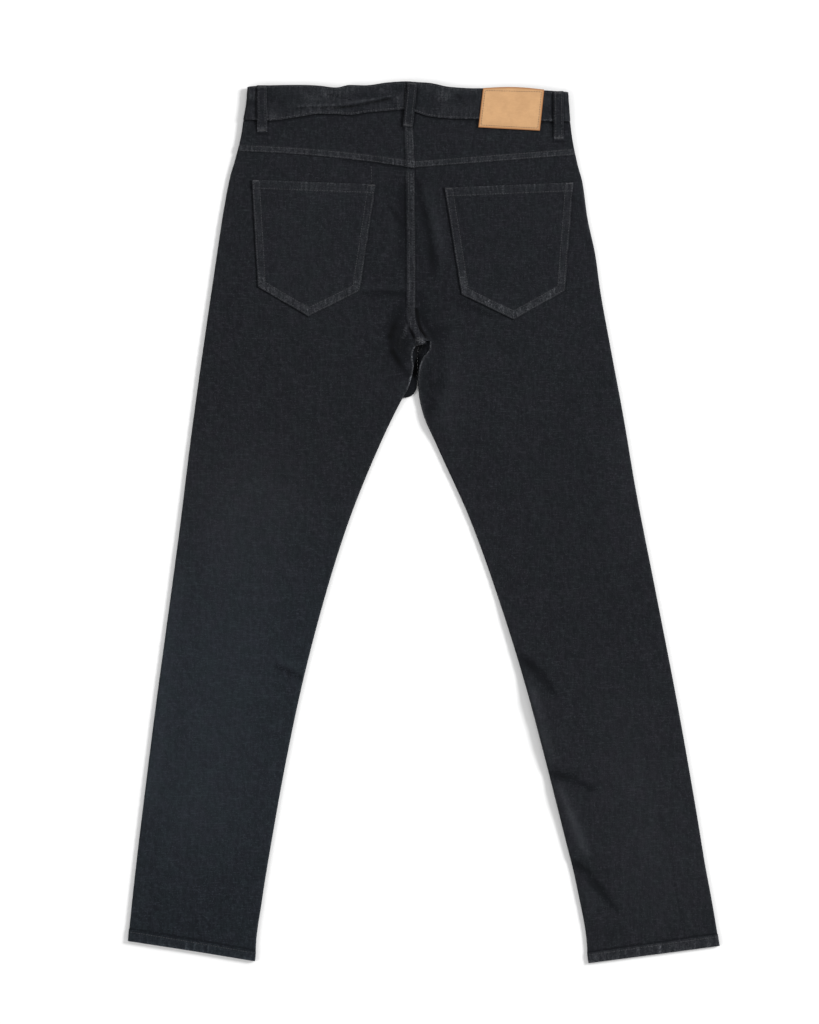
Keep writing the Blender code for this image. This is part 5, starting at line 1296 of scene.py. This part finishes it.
def sewPanels():
    left, right = pieces["back_leg_left"]["piece"], pieces["back_leg_right"]["piece"]
    for node in ("yoke_left", "yoke_right"):
        piece = pieces[node]["piece"]
        yokeRows = (seams["row"], seams["secondRow"] - seams["yokeShift"])
        addStitches(piece, [gridLine(node, fromEnd=d) for d in yokeRows])
    centre = [gridLine("yoke_left", fromInner=d, start=0.012) for d in bothRows]
    addStitches(pieces["yoke_left"]["piece"], centre)
    fork = 0.215    # where the centre seam's rows end, down the panel
    addStitches(left, [gridLine("back_leg_left", fromInner=d, start=0.010, stop=fork) for d in bothRows])
    for name, facing in (("back_leg_", 1), ("front_leg_", -1)):
        for node in (name + "left", name + "right"):
            addStitches(pieces[node]["piece"], [gridLine(node, fromEnd=hemRow)], facing)
    addStitches(left, [[(-0.0656, 0.4440), (-0.0650, 0.4225)]])
    addStitches(left, [[p for p in gridLine("back_leg_left", fromInner=0.0015) if 0.180 < p[1] < 0.222]])
    addStitches(right, [[p for p in gridLine("back_leg_right", fromInner=0.0015) if 0.110 < p[1] < 0.222]])
    addTack(left, (-0.0095, 0.2262), (0.0015, 0.2236))
    addTack(left, (-0.0090, 0.2290), (-0.0010, 0.2272))
    sewFront()
    sewBand()


def sewFront():
    for side, sideX in (("left", leftSideX), ("right", rightSideX)):
        front = pieces["front_leg_" + side]["piece"]
        inward = 1.0 if side == "left" else -1.0
        cornerX = float(sideX(0.5))
        for out in (0.0022, 0.0086):
            angles = np.linspace(0.10, math.pi / 2 - 0.05, 40)
            wide, deep = inward * (scoop["width"] + out), scoop["depth"] + out
            line = [(cornerX + wide * math.cos(a), 0.5 - deep * math.sin(a)) for a in angles]
            addStitches(front, [line], -1)
    left = pieces["front_leg_left"]["piece"]
    for width in (0.0400, 0.0338):
        # the curved double row that holds the fly
        x0 = -0.0160
        straight = [(x0 - width, y) for y in np.linspace(0.478, 0.375, 20)]
        deep = 0.065 + 0.2 * (width - 0.0338)
        angles = np.linspace(0.0, math.pi / 2, 24)[1:]
        turn = [(x0 - width * math.cos(a), 0.375 - deep * math.sin(a)) for a in angles]
        addStitches(left, [straight + turn[:-2]], -1)
    coin = pieces["coin_pocket"]["piece"]
    cornerX = float(rightSideX(0.5))
    for down in (0.0018, 0.0080):
        addStitches(coin, [[(cornerX - 0.0790, 0.4776 - down), (cornerX - 0.0180, 0.4702 - down)]], -1)


def sewBand():
    piece = pieces["waistband"]["piece"]
    xs = np.linspace(-0.2155, 0.1730, 160)
    addStitches(piece, [[(x, float(bandTopY(x)) - band["rowIn"]) for x in xs],
                        [(x, float(bandLowY(x)) + band["rowIn"]) for x in xs]])
    addStitches(piece, [[(-0.0238, 0.5468), (-0.0216, 0.5170)]])
    for side, x0, x1 in (("left", -0.2130, -0.0150), ("right", -0.0060, 0.1720)):
        topY, lowY = bandFront[side]
        xs = np.linspace(x0, x1, 60)
        addStitches(piece, [[(x, topY - float(dip(x)) - band["rowIn"]) for x in xs],
                                    [(x, lowY - 0.85 * float(dip(x)) + band["rowIn"]) for x in xs]], -1)


makePanels()
print("panels made:", len(pieces))
makeWaistband()
makePocket("pocket_back_left", leftPocket, 111)
makePocket("pocket_back_right", rightPocket, 131)
makePatch()
for node, ends in backLoops.items():
    makeLoop(node, ends, loopLevel, 1)
for node, ends in frontLoops.items():
    makeLoop(node, ends, frontLoopLevel, -1)
makeButton()
print("waistband, pockets, patch and loops made")
sewPanels()
makeThreads()
print("sewn")


# Shader groups
def newGroup(name, inputs, outputs):
    tree = bpy.data.node_groups.new(name, "ShaderNodeTree")
    for label, kind, value in inputs:
        socket = tree.interface.new_socket(name=label, in_out="INPUT", socket_type=kind)
        socket.default_value = value
    for label, kind in outputs:
        tree.interface.new_socket(name=label, in_out="OUTPUT", socket_type=kind)
    return tree, tree.nodes.new("NodeGroupInput"), tree.nodes.new("NodeGroupOutput")


def add(tree, kind, where=(0, 0), **settings):
    node = tree.nodes.new(kind)
    node.location = where
    for key, value in settings.items():
        setattr(node, key, value)
    return node


def math2(tree, operation, a, b, clamp=False):
    node = add(tree, "ShaderNodeMath", operation=operation, use_clamp=clamp)
    for socket, value in zip(node.inputs, (a, b)):
        if hasattr(value, "is_output"):
            tree.links.new(value, socket)
        else:
            socket.default_value = value
    return node.outputs[0]


def plus(tree, a, b, clamp=False):
    return math2(tree, "ADD", a, b, clamp)


def times(tree, a, b, clamp=False):
    return math2(tree, "MULTIPLY", a, b, clamp)


def scaled(tree, vector, x, y, z):
    node = add(tree, "ShaderNodeMapping")
    node.inputs["Scale"].default_value = (x, y, z)
    tree.links.new(vector, node.inputs["Vector"])
    return node.outputs[0]


def noise(tree, vector, scale, detail=2.0, roughness=0.5):
    node = add(tree, "ShaderNodeTexNoise")
    node.inputs["Scale"].default_value = scale
    node.inputs["Detail"].default_value = detail
    node.inputs["Roughness"].default_value = roughness
    tree.links.new(vector, node.inputs["Vector"])
    return node.outputs["Fac"]


def ranged(tree, value, low, high, toLow=0.0, toHigh=1.0):
    node = add(tree, "ShaderNodeMapRange", interpolation_type="SMOOTHSTEP")
    tree.links.new(value, node.inputs["Value"])
    for label, number in (("From Min", low), ("From Max", high), ("To Min", toLow), ("To Max", toHigh)):
        node.inputs[label].default_value = number
    return node.outputs["Result"]


def mixed(tree, factor, a, b, blend="MIX"):
    node = add(tree, "ShaderNodeMix", data_type="RGBA", blend_type=blend)
    for socket, value in ((node.inputs["Factor"], factor), (node.inputs["A"], a), (node.inputs["B"], b)):
        if hasattr(value, "is_output"):
            tree.links.new(value, socket)
        else:
            socket.default_value = value
    return node.outputs["Result"]


surfaceOutputs = [("Colour", "NodeSocketColor"), ("Height", "NodeSocketFloat"),
                  ("Roughness", "NodeSocketFloat")]

denimLook = {
    "dark": (0.0042, 0.0048, 0.0064, 1.0),       # dyed warp in the shade of the weave
    "light": (0.0197, 0.0212, 0.0252, 1.0),      # faded warp and the pale weft
    "worn": (0.0410, 0.0430, 0.0480, 1.0),       # rubbed edges and seam ripples, and painted highlight on crease ridges
    "faded": (1.00, 1.14, 1.19, 1.0),            # times the colour low on the left leg, for a bluer tone
    "warp": (400.0, 85.0),                       # streaks along the legs: across and along, a metre
    "weft": (105.0, 720.0),                      # the same for short streaks across the legs
    "warmer": (1.03, 0.99, 1.02, 1.0),           # the hue drifts between these two multipliers
    "cooler": (0.96, 1.02, 0.99, 1.0),
    "specks": 640.0,                             # pale flecks a metre
    "twill": 55.0,                               # fine diagonal lines
    "bump": 0.35,
    "shine": {"Sheen Weight": 0.02, "Sheen Roughness": 0.5, "Specular IOR Level": 0.10},
}


def buildDenimGroup():
    # crossed streaks of uneven yarn, fine twill and pale flecks
    inputs = [("Vector", "NodeSocketVector", (0, 0, 0)), ("WornAndHighlight", "NodeSocketFloat", 0.0),
              ("Shade", "NodeSocketFloat", 0.5)]
    tree, start, end = newGroup("denimWeave", inputs, surfaceOutputs)
    spot = start.outputs["Vector"]
    warp = noise(tree, scaled(tree, spot, denimLook["warp"][0], denimLook["warp"][1], 100.0), 1.0, 2.0, 0.6)
    weft = noise(tree, scaled(tree, spot, denimLook["weft"][0], denimLook["weft"][1], 100.0), 1.0, 2.0, 0.6)
    flecks = noise(tree, spot, denimLook["specks"], 1.0, 0.5)
    rubbed = noise(tree, spot, denimLook["specks"] * 0.85, 2.0, 0.6)
    clouds = noise(tree, spot, 38.0, 3.0, 0.55)
    twill = add(tree, "ShaderNodeTexWave", wave_type="BANDS", bands_direction="DIAGONAL")
    twill.inputs["Scale"].default_value = denimLook["twill"]
    twill.inputs["Distortion"].default_value = 1.5
    twill.inputs["Detail Scale"].default_value = 2.0
    tree.links.new(spot, twill.inputs["Vector"])
    warpStreak = ranged(tree, warp, 0.40, 0.66)
    weftStreak = ranged(tree, weft, 0.52, 0.72)
    fleck = ranged(tree, flecks, 0.58, 0.74)
    total = plus(tree, times(tree, warpStreak, 0.22), times(tree, weftStreak, 0.36))
    total = plus(tree, total, times(tree, fleck, 0.62))
    blotches = noise(tree, spot, 150.0, 2.0, 0.6)
    total = plus(tree, total, ranged(tree, blotches, 0.32, 0.68, 0.03, 0.11))
    total = plus(tree, total, times(tree, twill.outputs["Fac"], 0.06))
    total = plus(tree, total, ranged(tree, clouds, 0.3, 0.7, 0.0, 0.05))
    total = plus(tree, total, math2(tree, "SUBTRACT", start.outputs["Shade"], 0.5), True)
    base = mixed(tree, total, denimLook["dark"], denimLook["light"])
    drift = ranged(tree, noise(tree, spot, 60.0, 2.0, 0.5), 0.35, 0.65)
    hue = mixed(tree, drift, denimLook["warmer"], denimLook["cooler"])
    base = mixed(tree, 1.0, base, hue, "MULTIPLY")
    # very low Shade darkens the colour further, for deep painted shade in hollows and creases
    deep = ranged(tree, start.outputs["Shade"], -0.45, 0.20, 0.30, 1.0)
    base = mixed(tree, 1.0, base, deep, "MULTIPLY")
    ribs = noise(tree, scaled(tree, spot, 330.0, 45.0, 100.0), 1.0, 1.0, 0.5)
    patches = ranged(tree, rubbed, 0.36, 0.62, 0.15, 1.5)
    patchy = times(tree, patches, ranged(tree, ribs, 0.42, 0.60, 0.50, 1.5))
    # rubbing on worn places, together with painted highlight on crease ridges, turns the colour paler
    rub = times(tree, start.outputs["WornAndHighlight"], patchy)
    paleMix = mixed(tree, 1.0, denimLook["worn"], ranged(tree, rub, 1.0, 2.4, 1.0, 2.6), "MULTIPLY")
    tree.links.new(mixed(tree, times(tree, rub, 1.0, True), base, paleMix), end.inputs["Colour"])
    height = plus(tree, times(tree, warpStreak, 0.4), times(tree, weftStreak, 0.3))
    height = plus(tree, height, times(tree, twill.outputs["Fac"], 0.3))
    tree.links.new(height, end.inputs["Height"])
    tree.links.new(ranged(tree, warp, 0.3, 0.7, 0.88, 0.97), end.inputs["Roughness"])
    return tree


leatherLook = {
    "light": (0.525, 0.305, 0.145, 1.0),
    "dark": (0.431, 0.244, 0.1125, 1.0),
    "edge": (0.290, 0.120, 0.038, 1.0),
    "roughness": (0.52, 0.72),
    "bump": 0.25,
    "specular": 0.35,
}


def buildLeatherGroup():
    # fine pebbled grain with soft clouds of colour
    inputs = [("Vector", "NodeSocketVector", (0, 0, 0)), ("Edge", "NodeSocketFloat", 0.0)]
    tree, start, end = newGroup("leatherGrain", inputs, surfaceOutputs)
    place3 = start.outputs["Vector"]
    clouds = noise(tree, place3, 70.0, 4.0, 0.6)
    fibres = noise(tree, scaled(tree, place3, 260.0, 900.0, 400.0), 1.0, 3.0, 0.6)
    cells = add(tree, "ShaderNodeTexVoronoi", feature="DISTANCE_TO_EDGE")
    cells.inputs["Scale"].default_value = 1100.0
    tree.links.new(place3, cells.inputs["Vector"])
    crease = ranged(tree, cells.outputs["Distance"], 0.0, 0.18)
    cloudy = ranged(tree, clouds, 0.3, 0.7, 0.0, 0.65)
    tone = plus(tree, cloudy, ranged(tree, fibres, 0.3, 0.75, 0.0, 0.35), True)
    base = mixed(tree, tone, leatherLook["dark"], leatherLook["light"])
    base = mixed(tree, times(tree, math2(tree, "SUBTRACT", 1.0, crease), 0.25), base, leatherLook["dark"])
    tree.links.new(mixed(tree, start.outputs["Edge"], base, leatherLook["edge"]), end.inputs["Colour"])
    tree.links.new(plus(tree, times(tree, crease, 0.6), times(tree, fibres, 0.4)), end.inputs["Height"])
    tree.links.new(ranged(tree, clouds, 0.3, 0.7, *leatherLook["roughness"]), end.inputs["Roughness"])
    return tree


def blankMaterial(name):
    mat = bpy.data.materials.new(name)
    mat.use_nodes = True
    return mat, mat.node_tree, mat.node_tree.nodes["Principled BSDF"]


def newMaterial(name, group, bump, distance=0.0004):
    mat, tree, shader = blankMaterial(name)
    look = add(tree, "ShaderNodeGroup", (-320, 0), node_tree=group)
    coords = add(tree, "ShaderNodeTexCoord", (-720, 0))
    tree.links.new(coords.outputs["Object"], look.inputs["Vector"])
    tree.links.new(look.outputs["Colour"], shader.inputs["Base Color"])
    tree.links.new(look.outputs["Roughness"], shader.inputs["Roughness"])
    relief = add(tree, "ShaderNodeBump", (-140, -260))
    relief.inputs["Strength"].default_value = bump
    relief.inputs["Distance"].default_value = distance
    tree.links.new(look.outputs["Height"], relief.inputs["Height"])
    tree.links.new(relief.outputs["Normal"], shader.inputs["Normal"])
    wearShadeAndHighlight = add(tree, "ShaderNodeAttribute", (-720, -260), attribute_name="wearShadeAndHighlight")
    edgeInput = "WornAndHighlight" if "WornAndHighlight" in look.inputs else "Edge"
    tree.links.new(wearShadeAndHighlight.outputs["Fac"], look.inputs[edgeInput])
    return mat, tree, shader, look, coords


def makeDenim(name, group, shade, fadeLeg=False):
    mat, tree, shader, look, coords = newMaterial(name, group, denimLook["bump"])
    for label, value in denimLook["shine"].items():
        shader.inputs[label].default_value = value
    fade = add(tree, "ShaderNodeAttribute", (-720, -460), attribute_name="fade")
    tree.links.new(plus(tree, fade.outputs["Fac"], shade), look.inputs["Shade"])
    if fadeLeg:
        # the leg turns a little paler and bluer towards the hem
        split = add(tree, "ShaderNodeSeparateXYZ", (-540, 260))
        tree.links.new(coords.outputs["Object"], split.inputs[0])
        low = ranged(tree, split.outputs["Y"], 0.10, -0.20)
        colour = mixed(tree, low, look.outputs["Colour"], denimLook["faded"], "MULTIPLY")
        tree.links.new(colour, shader.inputs["Base Color"])
    return mat


threadLook = {"colour": (0.056, 0.057, 0.062, 1.0), "shade": 0.34}


def makeThreadMaterial():
    mat, tree, shader = blankMaterial("sewing_thread")
    coords = add(tree, "ShaderNodeTexCoord", (-700, 0))
    twist = noise(tree, coords.outputs["Object"], 240.0, 3.0, 0.6)
    dark = tuple(threadLook["shade"] * c for c in threadLook["colour"][:3]) + (1.0,)
    colour = mixed(tree, ranged(tree, twist, 0.35, 0.65), dark, threadLook["colour"])
    tree.links.new(colour, shader.inputs["Base Color"])
    tree.links.new(ranged(tree, twist, 0.3, 0.7, 0.66, 0.84), shader.inputs["Roughness"])
    shader.inputs["Specular IOR Level"].default_value = 0.3
    return mat


buttonLook = {
    "light": (0.36, 0.33, 0.30, 1.0),
    "dark": (0.20, 0.18, 0.16, 1.0),
    "roughness": (0.30, 0.48),
    "metallic": 0.95,
}


def makeButtonMaterial():
    mat, tree, shader = blankMaterial("button_metal")
    coords = add(tree, "ShaderNodeTexCoord", (-700, 0))
    blotch = noise(tree, coords.outputs["Object"], 420.0, 4.0, 0.6)
    colour = mixed(tree, ranged(tree, blotch, 0.35, 0.7), buttonLook["light"], buttonLook["dark"])
    tree.links.new(colour, shader.inputs["Base Color"])
    tree.links.new(ranged(tree, blotch, 0.3, 0.7, *buttonLook["roughness"]), shader.inputs["Roughness"])
    shader.inputs["Metallic"].default_value = buttonLook["metallic"]
    return mat


denimGroup = buildDenimGroup()
leather, _, leatherShader, _, _ = newMaterial("patch_leather", buildLeatherGroup(), leatherLook["bump"])
leatherShader.inputs["Specular IOR Level"].default_value = leatherLook["specular"]
materials = {
    "denim": makeDenim("denim_main", denimGroup, 0.50),
    "denimFaded": makeDenim("denim_left_leg", denimGroup, 0.50, True),
    "leather": leather,
    "button": makeButtonMaterial(),
    "thread": makeThreadMaterial(),
}
pieces["back_leg_left"]["material"] = "denimFaded"
pieces["front_leg_left"]["material"] = "denimFaded"
for node, entry in pieces.items():
    piece = entry["piece"]
    piece.data.materials.clear()
    piece.data.materials.append(materials[entry["material"]])
    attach(piece, "root")
    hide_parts(node)
    for extra in entry["with"]:
        extra.data.materials.append(materials["thread"])
        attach(extra, "root")
print("materials ready")


# Floor, light and camera
studio = {
    "floor": (0.80, 0.80, 0.80, 1.0),
    "keyPlace": (4.9, 1.8, 3.7),
    "keySize": 1.8,
    "keyPower": 393.0,
    "fillPlace": (-4.2, -1.0, 3.6),
    "fillSize": 2.5,
    "fillPower": 91.0,
    "sky": 0.65,
}


def makeStudio():
    bpy.ops.mesh.primitive_grid_add(x_subdivisions=8, y_subdivisions=8, size=14.0, location=(0, 0, -0.0001))
    floor = bpy.context.object
    floor.name = "floor"
    mat, _, shader = blankMaterial("floor_paper")
    shader.inputs["Base Color"].default_value = studio["floor"]
    shader.inputs["Roughness"].default_value = 0.9
    floor.data.materials.append(mat)
    for name in ("key", "fill"):
        data = bpy.data.lights.new(name, "AREA")
        data.shape = "DISK"
        data.size = studio[name + "Size"]
        data.energy = studio[name + "Power"]
        lamp = bpy.data.objects.new(name, data)
        lamp.location = studio[name + "Place"]
        lamp.rotation_euler = (-lamp.location).to_track_quat("-Z", "Y").to_euler()
        bpy.context.scene.collection.objects.link(lamp)
    world = bpy.data.worlds.new("studio")
    world.use_nodes = True
    world.node_tree.nodes["Background"].inputs["Strength"].default_value = studio["sky"]
    world.node_tree.nodes["Background"].inputs["Color"].default_value = (1.0, 1.0, 1.0, 1.0)
    bpy.context.scene.world = world
    bpy.context.scene.view_settings.view_transform = "Standard"


view = {"place": (-0.0178, 0.0119, 5.0065), "lens": 140.89, "sensor": 36.0}    # straight above the garment


def makeCamera():
    data = bpy.data.cameras.new("camera")
    data.lens = view["lens"]
    data.sensor_width = view["sensor"]
    camera = bpy.data.objects.new("camera", data)
    camera.location = view["place"]
    bpy.context.scene.collection.objects.link(camera)
    bpy.context.scene.camera = camera


makeStudio()
makeCamera()
print("studio ready")
